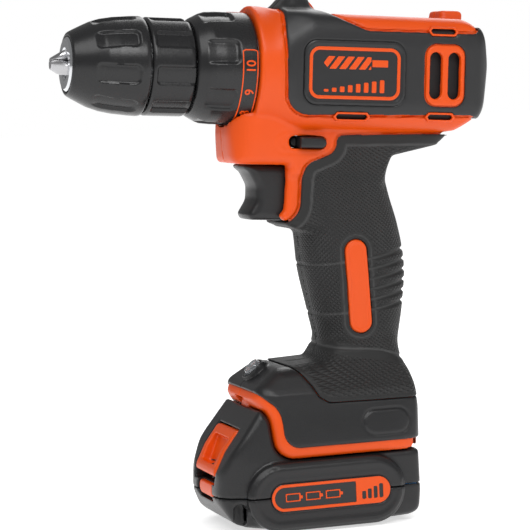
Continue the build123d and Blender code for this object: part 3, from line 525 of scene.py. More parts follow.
@dataclass(frozen=True)
class GripRubber:
    """Soft overmould: smooth borders and a field of small pyramids where the piece stores them, with painted
    highlights on the pyramid tops and along thin lines.

    Attributes:
        name: Name of the material.
        colour: Colour of the rubber.
        pitch: Distance between neighbouring pyramids in metres.
        height: Height of a pyramid in metres.
    """

    name: str
    colour: tuple[float, float, float, float]
    pitch: float = 0.00135
    height: float = 0.00042

    def make(self) -> Any:
        """Build the material; the wrapped coordinates are in millimetres."""
        shade = Shade(self.name)
        around, along, field_mask = shade.stored("around"), shade.stored("along"), shade.stored("field")
        turns = 0.001 / self.pitch
        ridges = []
        for lean in (1.0, -1.0):
            wave = ((around + along * lean) * (turns * 0.7071)).maths("FRACT")
            ridges.append(1.0 - (wave * 2.0 - 1.0).maths("ABSOLUTE"))
        pyramid = ridges[0].maths("MINIMUM", ridges[1]) * field_mask
        cloud, dust, grain = shade.noise(45.0, 4.0), shade.noise(700.0, 4.0, 0.65), shade.noise(3200.0, 2.0)
        base = shade.mix(cloud, tinted(self.colour, 0.88), tinted(self.colour, 1.12))
        # painted highlight: the tops of the pyramids are drawn lighter, as where light catches them
        top = (pyramid - 0.5).clamp() * 1.3
        base = shade.mix(top, base, tinted(self.colour, 2.6))
        base = shade.mix((dust - 0.55).clamp() * 0.5, base, tinted(self.colour, 1.9))
        # painted highlight: thin lines along the ridges, grooves and bead are drawn much lighter
        base = shade.mix(shade.stored("line") * 0.8, base, tinted(self.colour, 3.6))
        rough = (0.56 + (cloud - 0.5) * 0.1 + (dust - 0.5) * 0.16 - pyramid * 0.06).clamp(0.2, 1.0)
        normal = shade.bump(pyramid, self.height, shade.bump(grain, 0.00003))
        return shade.finish({"Base Color": base, "Roughness": rough, "Normal": normal,
                             "Specular IOR Level": 0.34, "Sheen Weight": 0.03})


class Cut(Enum):
    """The way a metal surface was finished."""

    GROUND = (0.00003, 700.0, 0.14)
    CAST = (0.00012, 1100.0, 0.22)
    PLATED = (0.00001, 160.0, 0.06)


@dataclass(frozen=True)
class Metal:
    """Bare or plated metal with its tool marks and some staining.

    Attributes:
        name: Name of the material.
        colour: Colour of the metal.
        gloss: Roughness of a clean face.
        cut: How the surface was finished.
        stain: Colour of the stains.
    """

    name: str
    colour: tuple[float, float, float, float]
    gloss: float = 0.3
    cut: Cut = Cut.GROUND
    stain: float = 0.55

    def make(self) -> Any:
        """Build the material."""
        depth, scale, spread = self.cut.value
        shade = Shade(self.name)
        cloud, marks, fine = shade.noise(120.0, 5.0), shade.noise(scale, 4.0, 0.7), shade.noise(5200.0, 2.0)
        base = shade.mix((cloud - 0.42).clamp() * 1.6, self.colour, tinted(self.colour, self.stain))
        base = shade.mix(shade.edges() * 0.5, base, tinted(self.colour, 1.25))
        rough = (self.gloss + (marks - 0.5) * spread + (cloud - 0.5) * spread).clamp(0.05, 1.0)
        normal = shade.bump(marks, depth, shade.bump(fine, depth * 0.4))
        return shade.finish({"Base Color": base, "Roughness": rough, "Normal": normal, "Metallic": 1.0})


@dataclass(frozen=True)
class ClearLens:
    """Clear moulded lens over a lamp.

    Attributes:
        name: Name of the material.
    """

    name: str

    def make(self) -> Any:
        """Build the material."""
        shade = Shade(self.name)
        cloud, scuff = shade.noise(300.0, 3.0), shade.noise(1500.0, 4.0)
        base = shade.mix(cloud, (0.82, 0.86, 0.9, 1.0), (0.95, 0.97, 1.0, 1.0))
        rough = (0.06 + (scuff - 0.5).clamp() * 0.3).clamp()
        return shade.finish({"Base Color": base, "Roughness": rough, "Transmission Weight": 0.85, "IOR": 1.5,
                             "Normal": shade.bump(scuff, 0.00001)})


class Finishes:
    """Every material of the drill, made once."""

    def __init__(self) -> None:
        """Make the materials."""
        orange = linear(226, 78, 0)
        panel, plate, case, hidden = (linear(v, v, v + 1) for v in (40, 38, 34, 24))
        board, wrap = (0.03, 0.16, 0.07, 1.0), (0.06, 0.2, 0.42, 1.0)
        self.orange = MouldedPlastic("orange_moulding", orange, 0.4, 0.00002, 2600.0, 0.25).make()
        self.panel = MouldedPlastic("dark_panel_moulding", panel, 0.36, 0.00005, 2400.0, 0.5).make()
        self.plate = MouldedPlastic("dark_plate_moulding", plate, 0.34, 0.00002, 2600.0, 0.4).make()
        self.foot = MouldedPlastic("foot_moulding", case, 0.36, 0.00006, 2200.0, 0.5).make()
        self.battery = MouldedPlastic("battery_moulding", case, 0.34, 0.00007, 2100.0, 0.5).make()
        self.sleeve = MouldedPlastic("sleeve_moulding", case, 0.27, 0.00002, 2600.0, 0.5).make()
        self.trigger = MouldedPlastic("trigger_moulding", case, 0.34, 0.00004, 2400.0, 0.5).make()
        self.inner = MouldedPlastic("inner_moulding", hidden, 0.55, 0.00004, 2000.0, 0.2).make()
        self.rubber = GripRubber("grip_rubber", linear(34, 34, 34)).make()
        self.chrome = Metal("chuck_steel", (0.72, 0.73, 0.75, 1.0), 0.16, Cut.PLATED, 0.8).make()
        self.jaws = Metal("jaw_steel", (0.5, 0.5, 0.51, 1.0), 0.3).make()
        self.gears = Metal("gear_steel", (0.55, 0.55, 0.56, 1.0), 0.34).make()
        self.zinc = Metal("cast_zinc", (0.5, 0.51, 0.53, 1.0), 0.46, Cut.CAST).make()
        self.can = Metal("plated_can", (0.62, 0.62, 0.63, 1.0), 0.25, Cut.PLATED).make()
        self.dark_metal = Metal("blackened_steel", (0.1, 0.1, 0.105, 1.0), 0.38).make()
        self.magnet = Metal("ferrite", (0.1, 0.1, 0.11, 1.0), 0.6, Cut.CAST).make()
        self.copper = Metal("copper", (0.72, 0.36, 0.2, 1.0), 0.28).make()
        self.bronze = Metal("bronze", (0.6, 0.42, 0.2, 1.0), 0.4, Cut.CAST).make()
        self.contact = Metal("plated_contact", (0.8, 0.62, 0.28, 1.0), 0.2, Cut.PLATED).make()
        self.board = MouldedPlastic("lacquered_board", board, 0.3, 0.00003, 1800.0, 0.2).make()
        self.wrap = MouldedPlastic("shrink_wrap", wrap, 0.25, 0.00003, 900.0, 0.2).make()
        self.lens = ClearLens("clear_lens").make()


# ---------------------------------------- body form
BODY_Z_SPLIT = 128.0


@dataclass
class BodyForm:
    """Outside of the pistol body as distances, for points with y of either sign."""

    half_width: float = 27.6
    top: float = 31.0
    bottom: float = -26.5
    ring_radius: float = 27.3
    barrel_side: Outline = Outline((
        (-19.8, -29, 0.2), (-19.8, 29, 0.2), (-14, 27.6, 4), (-8, 25.6, 4), (12, 24.6, 8), (74, 24.2, 9),
        (82.4, 17.0, 12), (85.4, 4, 16), (82.4, -15, 12), (69, -26.5, 8), (-4, -26.5, 8), (-12, -27.8, 8)))
    neck_side: Outline = Outline((
        (-29.6, -18, 0.5), (-30.1, -28, 6), (-27.8, -40.6, 3), (-3.4, -40.6, 1), (-3.6, -46, 2), (38, -46, 2),
        (42, -34.4, 4), (62.0, -29.4, 6), (70, -23, 3), (70, -18, 1)))
    guard_side: Outline = Outline((
        (-3.4, -38, 1), (-4.2, -60, 6), (-6.4, -62.4, 0.8), (-5.2, -64.2, 1.2), (1.5, -66.6, 4), (9, -68, 4),
        (20, -68, 2), (20, -38, 2)))
    foot_side: Outline = Outline((
        (-22.4, 57, 1), (-18.4, 61.6, 5), (-9.0, 68.4, 6), (14, 69.4, 3), (20, 76, 3), (42.6, 76, 4),
        (48.6, 66, 12),
        (52.4, 50, 10), (51.7, 31.7, 0.8), (-13.6, 31.7, 8.5), (-15.4, 50, 10)))
    handle: tuple[tuple[float, float, float, float], ...] = (
        (62, 17.2, 47.4, 17.5), (76, 17.4, 49.2, 16.8), (92, 14.6, 52.0, 17), (110, 11.2, 53.5, 17.6),
        (128, 9.6, 51.0, 17.6), (142, 6.0, 47.4, 17.3), (154, 2, 45.2, 17.2), (168, 0, 45, 17.2))
    handle_corner: float = 14.0

    def barrel(self, u: Array, y: Array, w: Array) -> Array:
        """Barrel with its front ring."""
        ay = np.abs(y)
        middle = (self.top + self.bottom) / 2
        corner = np.where(w > middle, 21.0, 15.0)
        qa, qb = ay - (self.half_width - corner), np.abs(w - middle) - ((self.top - self.bottom) / 2 - corner)
        section = np.hypot(np.maximum(qa, 0), np.maximum(qb, 0)) + np.minimum(np.maximum(qa, qb), 0) - corner
        square = ramp(u, -15.0, 4.0)
        section = section * square + (np.hypot(ay, w) - self.ring_radius) * (1.0 - square)
        shape = round_max(self.barrel_side.distance(u, w), section, 1.2 + 1.8 * square)
        shape = round_max(shape, round_max(u - 86.8, ay - self.half_width, 17.0), 2.0)
        front_lug = round_max(rounded_rect(u - 1.6, ay, 6.4, 11.0, 5.0), np.maximum(w - 30.4, 15 - w), 3.4)
        rear_lug = round_max(rounded_rect(u - 72.4, ay, 5.2, 8.0, 2.0), np.maximum(w - 28.2, 15 - w), 1.8)
        return round_min(round_min(shape, front_lug, 5.0), rear_lug, 1.6)

    def neck(self, u: Array, y: Array, w: Array) -> Array:
        """Chin below the collar, roof over the trigger and rear overhang."""
        ay = np.abs(y)
        flank = ay - np.interp(w, (-46.0, -30.0, -15.0), (17.4, 19.3, 19.5))
        shape = round_max(self.neck_side.distance(u, w), flank, 3.5)
        shape = round_max(shape, round_max(-30.2 - u, ay - 19.5, 14.0), 2.0)
        shape = round_max(shape, round_max(u - 71.0, ay - 19.5, 10.0), 2.0)
        collar = np.maximum(np.hypot(ay, w) - 25.0, u + 19.79)
        return np.maximum(shape, -collar)

    def guard(self, u: Array, y: Array, w: Array) -> Array:
        """Housing behind and under the trigger."""
        ay = np.abs(y)
        plan = round_max(-11.0 - u, ay - 15.5, 6.0)
        return round_max(self.guard_side.distance(u, w), plan, 2.0)

    def grip_handle(self, x: Array, y: Array, z: Array) -> Array:
        """Handle through its rounded sections."""
        front, back = through(z, self.handle, 1), through(z, self.handle, 2)
        width = through(z, self.handle, 3)
        flat = rounded_rect(x - (front + back) / 2, y, (back - front) / 2, width, self.handle_corner)
        return np.maximum(flat * 0.985, np.maximum(z - 168.0, 60.0 - z))

    def foot(self, x: Array, y: Array, z: Array) -> Array:
        """Foot that flares from the handle to the battery."""
        ay = np.abs(y)
        flank = (ay - np.interp(z, (38, 59, 71.5, 80), (31.2, 26.0, 17.5, 17.0)))
        flank = flank * np.interp(z, (36, 40, 57, 61, 70, 73), (1.0, 0.97, 0.95, 0.83, 0.83, 1.0))
        plan = np.maximum(round_max(-22.0 - x, ay - 31.2, 18.0), round_max(x - 52.8, ay - 31.2, 12.0))
        return round_max(round_max(self.foot_side.distance(x, z), flank, 3.0), plan, 2.0)

    def whole(self, x: Array, y: Array, z: Array) -> Array:
        """The whole body with soft joins between its parts."""
        u, w = to_barrel(x, z)
        upper = round_min(self.barrel(u, y, w), self.neck(u, y, w), 1.2)
        upper = round_min(upper, self.guard(u, y, w), 1.5)
        lower = round_min(self.grip_handle(x, y, z), self.foot(x, y, z), 8.0)
        return round_min(upper, lower, 3.0 + 3.0 * ramp(u, 28.0, 40.0))


def slot_shape(a: Array, b: Array, a0: float, a1: float, b0: float, b1: float) -> Array:
    """Distance to a stadium that fills a rectangle."""
    half_a, half_b = (a1 - a0) / 2, (b1 - b0) / 2
    return rounded_rect(a - (a0 + a1) / 2, b - (b0 + b1) / 2, half_a, half_b, min(half_a, half_b))


def plate_shape(a: Array, b: Array, box: tuple[float, float, float, float], radius: float) -> Array:
    """Distance to a rounded rectangle given by its limits."""
    a0, a1, b0, b1 = box
    return rounded_rect(a - (a0 + a1) / 2, b - (b0 + b1) / 2, (a1 - a0) / 2, (b1 - b0) / 2, radius)


def box_cut(x: Array, y: Array, z: Array, low: Sequence[float], high: Sequence[float]) -> Array:
    """Distance to a box, by its limits."""
    parts = [np.maximum(low[k] - v, v - high[k]) for k, v in enumerate((x, y, z))]
    return np.maximum(np.maximum(parts[0], parts[1]), parts[2])


def groove(distance: Array, half_width: float, depth: float) -> Array:
    """Height to take off for a rounded groove along a line."""
    t = np.clip(np.abs(distance) / half_width, 0.0, 1.0)
    return depth * (1.0 - t * t) ** 2


# ---------------------------------------- body pieces
COVER_SIDE = Outline((
    (-8.8, 16, 8), (-7.2, 31, 1), (-7.4, 40, 1), (5, 40, 1), (5.6, 27.5, 2), (16.4, 22, 10), (27, 17.6, 10),
    (79, 17.8, 4), (80.4, 40, 1), (110, 40, 1), (110, -30, 1), (88, -30, 2), (80, -17.4, 12),
    (-7.6, -19.2, 10), (-8.6, 0, 20)))
GRIP_SIDE = Outline((
    (16.8, -27.2, 3), (16.6, -34.4, 6), (2.6, -40.4, 7), (2.1, -60.6, 9), (-3.7, -66, 1), (-3.7, -80, 1),
    (-20, -160, 1), (90, -160, 1), (90, -24, 1), (66.5, -25.6, 3)))
BOOT_SIDE = Outline((
    (-40, 74, 1), (-8.6, 71.8, 4), (-0.9, 68.9, 8), (4, 62, 6), (6.4, 57.3, 4), (10.6, 54.5, 4),
    (30.5, 54.1, 8), (80, 53.6, 1), (80, 260, 1), (-40, 260, 1)))
BADGE_BOX = (-1.6, 44.4, -14.6, 13.2)
FRAME_BOX = (0.7, 41.8, -11.9, 10.3)
VENT_BOX = (53.4, 71.4, -13.8, 12.6)
VENT_SLOTS = ((55.4, 61.0, -10.8, 9.4), (63.8, 69.4, -10.8, 9.4))
EDGE_SLOTS = ((20.8, 8.3, -19.3), (61.0, 6.9, -18.6), (61.6, 6.9, 18.3))


def hexagon(a: Array, b: Array, half_length: float, half_height: float) -> Array:
    """Distance to a long bar with pointed ends about the origin."""
    return np.maximum(np.abs(b) - half_height, (np.abs(a) + 0.75 * np.abs(b) - half_length) * 0.8)


@dataclass
class Housing:
    """Clamshell halves of the body, with their openings."""

    form: BodyForm
    wall: float = 2.4
    seam: float = SEAM
    parts: dict[str, dict[Side, Any]] = field(default_factory=dict)

    def openings(self, x: Array, y: Array, z: Array) -> Array:
        """Everything cut from the halves."""
        u, w = to_barrel(x, z)
        cut = box_cut(u, y, w, (-17.5, -1, -65.4), (7, 11.3, -40.6))
        cut = np.minimum(cut, np.maximum(slot_shape(u, w, -4.4, 12.3, -33.5, -27.9), 0 * y - 1))
        for slot in VENT_SLOTS:
            cut = np.minimum(cut, slot_shape(u, w, *slot) + 0 * y)
        cut = np.minimum(cut, np.maximum(np.hypot(y, w) - 21.6, np.maximum(-30 - u, u - 20)))
        barrel = self.form.barrel(u, y, w)
        for centre, half_length, height in EDGE_SLOTS:
            slot = np.maximum(hexagon(u - centre, w - height, half_length - 1.1, 1.2), -1.9 - barrel)
            cut = np.minimum(cut, np.maximum(slot, 6.0 - y))
        cut = np.minimum(cut, box_cut(x, y, z, (-2, -1, 20), (51, 28.4, 36)))
        cut = np.minimum(cut, box_cut(x, y, z, (-26, -1, 20), (46.5, 18.6, 43.9)))
        cut = np.minimum(cut, box_cut(x, y, z, (-40, -1, 40), (-10, 6.3, 56.4)))
        return np.minimum(cut, WorkLight.tube(x, y, z, 4.4, -7.0, 9.0))

    def relief(self, x: Array, z: Array) -> Array:
        """Depth of the shadow gaps and of the arrow field beside the selector."""
        u, w = to_barrel(x, z)
        rubber = np.maximum(GRIP_SIDE.distance(u, w), BOOT_SIDE.distance(x, z))
        cover_gap, rubber_gap = (groove(edge - 0.2, 0.9, 1.3) for edge in (COVER_SIDE.distance(u, w), rubber))
        gap = np.maximum(cover_gap, rubber_gap)
        mark = np.minimum(np.abs(slot_shape(u, w, -11.2, 13.2, -35.4, -26.1)),
                          path_distance(u, w, ((-5.0, -27.9), (-7.8, -30.7), (-5.0, -33.5))))
        return np.maximum(gap, groove(mark, 0.75, 0.38))

    def half(self, x: Array, y: Array, z: Array) -> Array:
        """Distance of the half with y above 0."""
        outside = self.form.whole(x, y, z)
        shape = round_max(outside + self.relief(x, z) * (y > 9.0), self.seam - y, 0.35)
        shape = np.maximum(shape, -(outside + self.wall))
        return round_max(shape, -self.openings(x, y, z), 0.4)

    def upper(self, x: Array, y: Array, z: Array) -> Array:
        """Barrel, neck and top of the handle."""
        return np.maximum(self.half(x, y, z), BODY_Z_SPLIT - z)

    def lower(self, x: Array, y: Array, z: Array) -> Array:
        """Handle core and foot, with two tabs on the rear of the foot."""
        shape = np.maximum(self.half(x, y, z), z - BODY_Z_SPLIT)
        for height in (39.4, 44.6):
            tab = np.maximum(np.hypot(x - 53.7, z - height) - 2.5, np.abs(y - 4.95) - 5.0)
            shape = np.minimum(shape, tab)
        return shape

    def build(self, finishes: Finishes) -> None:
        """Build and dress the halves."""
        top = Moulding((-29.0, -0.6, 127.0), (104.0, 30.0, 234.0), 0.74).pair("upper_housing", self.upper)
        foot = Moulding((-25.0, -0.6, 29.0), (60.0, 34.0, 129.5), 0.72).pair("lower_housing", self.lower)
        for side in Side:
            node = f"{side.name.lower()}_housing"
            dress(top[side], finishes.orange, "body", "orange_plastic", node)
            dress(foot[side], finishes.orange, "body", "orange_plastic", node)


@dataclass
class SideTrim:
    """Dark covers, badges and cooling frames on the barrel."""

    form: BodyForm
    skin: float = 1.2
    seam: float = SEAM
    slot_height: float = 1.95

    def cover(self, x: Array, y: Array, z: Array) -> Array:
        """Dark cover over the flank, the saddle and the rear dome."""
        u, w = to_barrel(x, z)
        barrel = self.form.barrel(u, y, w)
        shape = np.maximum(barrel - self.skin, -(self.form.whole(x, y, z) + 0.35))
        shape = round_max(shape, COVER_SIDE.distance(u, w), 0.8)
        seat = np.maximum(plate_shape(u, w, BADGE_BOX, 6.0), 0.45 - barrel)
        shape = round_max(shape, -seat, 0.5)
        shape = round_max(shape, -(plate_shape(u, w, VENT_BOX, 5.0) - 0.3), 0.5)
        for centre, half_length, height in EDGE_SLOTS:
            slot = hexagon(u - centre, w - height, half_length, self.slot_height)
            shape = round_max(shape, 0.1 - slot, 0.4)
        return round_max(shape, self.seam - y, 0.4)

    def rims(self, x: Array, y: Array, z: Array) -> Array:
        """Orange rims of the small slots on the cover's edges."""
        u, w = to_barrel(x, z)
        barrel = self.form.barrel(u, y, w)
        found = np.full(np.broadcast(x, y, z).shape, 9.0)
        for centre, half_length, height in EDGE_SLOTS:
            outer = hexagon(u - centre, w - height, half_length, self.slot_height)
            rim = round_max(outer, 1.05 - hexagon(u - centre, w - height, half_length - 0.15, 2.1) - 2.1, 0.3)
            rim = round_max(rim, -hexagon(u - centre, w - height, half_length - 1.1, 0.95), 0.3)
            found = np.minimum(found, rim)
        layer = np.maximum(barrel - self.skin - 0.45, np.maximum(-barrel - 0.5, 6.0 - y))
        return round_max(found, layer, 0.4)

    def fills(self, x: Array, y: Array, z: Array) -> Array:
        """Dark backs of the small slots."""
        u, w = to_barrel(x, z)
        barrel = self.form.barrel(u, y, w)
        found = np.full(np.broadcast(x, y, z).shape, 9.0)
        for centre, half_length, height in EDGE_SLOTS:
            found = np.minimum(found, hexagon(u - centre, w - height, half_length - 0.6, 1.7))
        return np.maximum(found, np.maximum(barrel + 0.5, np.maximum(-barrel - 2.2, 6.0 - y)))

    def plate(self, x: Array, y: Array, z: Array) -> Array:
        """Badge plate with a stepped rim."""
        u, w = to_barrel(x, z)
        barrel = self.form.barrel(u, y, w)
        rim = plate_shape(u, w, BADGE_BOX, 6.0) + 0.2
        height = self.skin + 0.75 - 0.5 * ramp(-rim, 1.5, 2.1)
        return round_max(np.maximum(barrel - height, 0.4 - barrel), rim, 0.6)

    def outline(self, x: Array, y: Array, z: Array) -> Array:
        """Orange line round the badge and the marks inside it."""
        u, w = to_barrel(x, z)
        barrel = self.form.barrel(u, y, w)
        line = np.abs(plate_shape(u, w, FRAME_BOX, 4.6) + 0.75) - 0.75
        mark = np.minimum(line, self.bit_mark(u, w))
        return round_max(np.maximum(barrel - self.skin - 0.72, self.skin - 0.2 - barrel), mark, 0.25)

    def bit_mark(self, u: Array, w: Array) -> Array:
        """Plain twist bit above a rising row of bars."""
        du, dw = u - 6.5, w - 3.6
        body = np.maximum(np.abs(dw) - 2.7, np.maximum(3.0 - du + np.abs(dw) * 0.9 - 2.7, du - 22.0))
        twist = np.abs(np.mod(du - dw * 0.75, 4.4) - 2.2) - 1.55
        body = np.maximum(body, twist)
        shank = np.maximum(np.abs(dw) - 1.5, np.maximum(22.4 - du, du - 29.6))
        mark = np.minimum(body, shank)
        for i in range(8):
            centre, height = 8.4 + 3.6 * i, 1.2 + 0.62 * i
            bar = rounded_rect(u - centre, w + 8.9 - height / 2, 1.05, height / 2, 0.3)
            mark = np.minimum(mark, bar)
        return mark

    def vent(self, x: Array, y: Array, z: Array) -> Array:
        """Orange frame of the cooling slots."""
        u, w = to_barrel(x, z)
        barrel = self.form.barrel(u, y, w)
        shape = round_max(np.maximum(barrel - self.skin - 0.6, -barrel - 0.3),
                          plate_shape(u, w, VENT_BOX, 5.0) + 0.2, 0.7)
        for slot in VENT_SLOTS:
            shape = round_max(shape, -slot_shape(u, w, *slot), 0.7)
        return shape

    def baffle(self, x: Array, y: Array, z: Array) -> Array:
        """Dark louvre wall a little way inside the cooling slots."""
        u, w = to_barrel(x, z)
        inner = self.form.barrel(u, y, w) + 4.2
        return np.maximum(np.abs(inner) - 0.6, plate_shape(u, w, (54.0, 70.6, -12.4, 11.2), 4.0))

    def build(self, finishes: Finishes) -> None:
        """Build and dress the trims of both sides."""
        low, high = (-4.0, -0.6, 158.0), (104.0, 30.5, 234.0)
        cover = Moulding(low, high, 0.6).pair("side_cover", self.cover)
        badge_low, badge_high = (2.0, 15.0, 174.0), (56.0, 30.6, 216.0)
        plate = Moulding(badge_low, badge_high, 0.48).pair("badge", self.plate)
        line = Moulding(badge_low, badge_high, 0.3).pair("badge_mark", self.outline)
        vent = Moulding((56.0, 15.0, 172.0), (84.0, 30.6, 212.0), 0.4).pair("vent_frame", self.vent)
        baffle = Moulding((56.0, 10.0, 172.0), (84.0, 30.6, 212.0), 0.6).pair("vent_baffle", self.baffle)
        slot_low, slot_high = (14.0, 6.0, 166.0), (80.0, 30.6, 220.0)
        rims = Moulding(slot_low, slot_high, 0.32).pair("slot_rims", self.rims)
        fills = Moulding(slot_low, slot_high, 0.5).pair("slot_backs", self.fills)
        for side in Side:
            name = side.name.lower()
            dress(rims[side], finishes.orange, "body", "orange_plastic")
            dress(fills[side], finishes.inner, "body", "black_plastic")
            dress(cover[side], finishes.panel, "body", "black_plastic", f"{name}_side_cover")
            dress(plate[side], finishes.plate, "body", "black_plastic", f"{name}_badge")
            dress(line[side], finishes.orange, "body", "orange_plastic")
            dress(vent[side], finishes.orange, "body", "orange_plastic", f"{name}_vent_frame")
            dress(baffle[side], finishes.inner, "body", "black_plastic")


@dataclass
class Grip:
    """Rubber overmould with its texture, ribs and orange bars."""

    form: BodyForm
    thickness: float = 1.6
    seam: float = SEAM
    insert_centre: tuple[float, float] = (29.4, 102.6)
    insert_half: tuple[float, float] = (5.0, 20.4)
    insert_lean: float = math.radians(2.7)
    ribs: tuple[tuple[float, float, float, float], ...] = tuple(
        (34.6 + 0.18 * i, 114.1 - 4.42 * i, 51.4 - 0.1 * i, 117.0 - 4.55 * i) for i in range(6))
    rings: tuple[tuple[tuple[float, float], ...], ...] = (
        ((-6.0, 114.3), (3.5, 114.0), (10.2, 112.5), (24.2, 113.4)),
        ((-4.0, 92.3), (7.3, 91.8), (12.2, 90.8), (25.1, 91.3)))
    base: tuple[tuple[float, float], ...] = (
        (0.0, 79.2), (9.7, 77.8), (20.6, 76.3), (34.4, 75.1), (41.2, 73.5), (56.0, 67.5))

    def slot(self, x: Array, z: Array) -> Array:
        """Distance to the leaning bar in the grip."""
        c, s = math.cos(self.insert_lean), math.sin(self.insert_lean)
        dx, dz = x - self.insert_centre[0], z - self.insert_centre[1]
        a, b = dx * c + dz * s, dz * c - dx * s
        half_a, half_b = self.insert_half
        return slot_shape(a, b, -half_a, half_a, -half_b, half_b)

    def rib_lines(self, x: Array, z: Array) -> list[Array]:
        """Distance to the middle of each rib, run out past the back of the handle."""
        return [capsule(x, z, x0, z0, x1 + 8, z1 + 1.2) for x0, z0, x1, z1 in self.ribs]

    def region(self, x: Array, z: Array) -> Array:
        """Distance to the rubber's outline seen from the side."""
        u, w = to_barrel(x, z)
        return np.maximum(GRIP_SIDE.distance(u, w), BOOT_SIDE.distance(x, z))

    def relief(self, x: Array, y: Array, z: Array) -> Array:
        """Depth of the ribs and rings cut into the rubber."""
        depth = np.zeros(np.broadcast(x, y, z).shape)
        for line in self.rib_lines(x, z):
            depth = np.maximum(depth, groove(line, 1.25, 1.15) + 0 * y)
        for points in self.rings:
            depth = np.maximum(depth, groove(path_distance(x, z, points), 0.9, 0.55) + 0 * y)
        depth = np.maximum(depth, groove(path_distance(x, z, self.base), 1.1, 0.8) + 0 * y)
        rim = groove(self.slot(x, z) - 1.9, 0.8, 0.35)
        return np.maximum(depth, rim + 0 * y)

    def rubber(self, x: Array, y: Array, z: Array) -> Array:
        """Distance of the rubber for y above 0."""
        u, w = to_barrel(x, z)
        whole = self.form.whole(x, y, z)
        region = self.region(x, z)
        bead = groove(region + 4.6, 0.75, 0.3) * (z > 80.0)
        shape = np.maximum(whole - self.thickness + self.relief(x, y, z) - bead, -(whole + 0.4))
        shape = round_max(shape, region, 0.9)
        shape = np.maximum(shape, -(self.form.barrel(u, y, w) - 1.25))
        shape = round_max(shape, -(self.slot(x, z) - 0.15), 0.5)
        shape = round_max(shape, -(slot_shape(u, w, -4.6, 12.5, -33.7, -27.7) + 0 * y), 0.5)
        return round_max(shape, self.seam - y, 0.06)

    def bar(self, x: Array, y: Array, z: Array) -> Array:
        """Orange bar for y above 0."""
        handle = self.form.grip_handle(x, y, z)
        edge = self.slot(x, z)
        shape = np.maximum(handle - self.thickness - 0.35 + 0.25 * ramp(-edge, 1.2, 1.8), 0.1 - handle)
        return round_max(np.maximum(shape, -y), edge + 0.1, 0.8)

    def wrap(self, piece: Any) -> None:
        """Store distances round and along the handle, where the pyramids are, and the thin lines that get a
        painted highlight.
        """
        p = points_mm(piece)
        x, y, z = p[:, 0], np.abs(p[:, 1]), p[:, 2]
        heights = np.clip(z, 62, 168)
        front, back = through(heights, self.form.handle, 1), through(heights, self.form.handle, 2)
        width, corner = through(heights, self.form.handle, 3), self.form.handle_corner
        dx, half = x - (front + back) / 2, (back - front) / 2
        flat, run = width - corner, half - corner
        turn_front = np.arctan2(y - flat, -(dx + run))
        turn_back = np.arctan2(dx - run, y - flat)
        arc = corner * math.pi / 2
        around = np.where(
            dx < -run, np.where(y < flat, y, flat + corner * np.clip(turn_front, 0, math.pi / 2)),
            np.where(dx <= run, flat + arc + dx + run,
                     np.where(y > flat, flat + arc + 2 * run + corner * np.clip(turn_back, 0, math.pi / 2),
                              2 * flat + 2 * arc + 2 * run - y)))
        region, slot = self.region(x, z), self.slot(x, z)
        above = ramp(z + 0.22 * (x - 10), 80.2, 81.2)
        below = ramp(-(z + 0.22 * (x - 10)), -76.2, -75.2) * ramp(-region, 1.6, 2.6)
        inside = np.maximum(ramp(-region, 4.9, 5.6) * ramp(slot, 2.8, 3.4) * above, below)
        ribs = np.ones_like(z)
        for line in self.rib_lines(x, z):
            ribs = np.minimum(ribs, ramp(line, 1.0, 1.5))
        # painted highlight: thin lighter lines along the bead, the ring and base grooves, the ribs and the
        # bar's rim
        highlight_lines = [np.where(z > 80.0, np.abs(region + 4.6), 9.0)]
        highlight_lines += [path_distance(x, z, points) for points in (*self.rings, self.base)]
        highlight_lines += self.rib_lines(x, z)
        highlight_lines.append(np.abs(slot - 1.9) + 0.25)
        store(piece, "line", 1.0 - ramp(np.min(highlight_lines, axis=0), 0.25, 0.75))
        store(piece, "around", around)
        store(piece, "along", z)
        store(piece, "field", inside * ribs)

    def build(self, finishes: Finishes) -> None:
        """Build and dress the rubber and the bars."""
        rubber = Moulding((-12.0, -0.6, 51.0), (84.0, 33.6, 180.0), 0.6).pair("grip", self.rubber)
        bars = Moulding((20.0, 10.0, 80.0), (39.0, 20.5, 125.0), 0.35).pair("grip_insert", self.bar)
        for side in Side:
            name = side.name.lower()
            self.wrap(rubber[side])
            dress(rubber[side], finishes.rubber, "body", "grip_rubber", f"{name}_grip")
            dress(bars[side], finishes.orange, "body", "orange_plastic", f"{name}_grip_insert")


@dataclass
class WorkLight:
    """Lamp in the front of the foot."""

    centre: ClassVar[tuple[float, float]] = (-12.6, 66.6)
    tilt: ClassVar[float] = math.radians(-42.0)

    @classmethod
    def tube(cls, x: Array, y: Array, z: Array, radius: float, low: float, high: float) -> Array:
        """Distance to a round bar along the lamp's axis."""
        dx, dz = x - cls.centre[0], z - cls.centre[1]
        c, s = math.cos(cls.tilt), math.sin(cls.tilt)
        along, off = dx * s + dz * c, dx * c - dz * s
        return np.maximum(np.hypot(off, y) - radius, np.maximum(low - along, along - high))


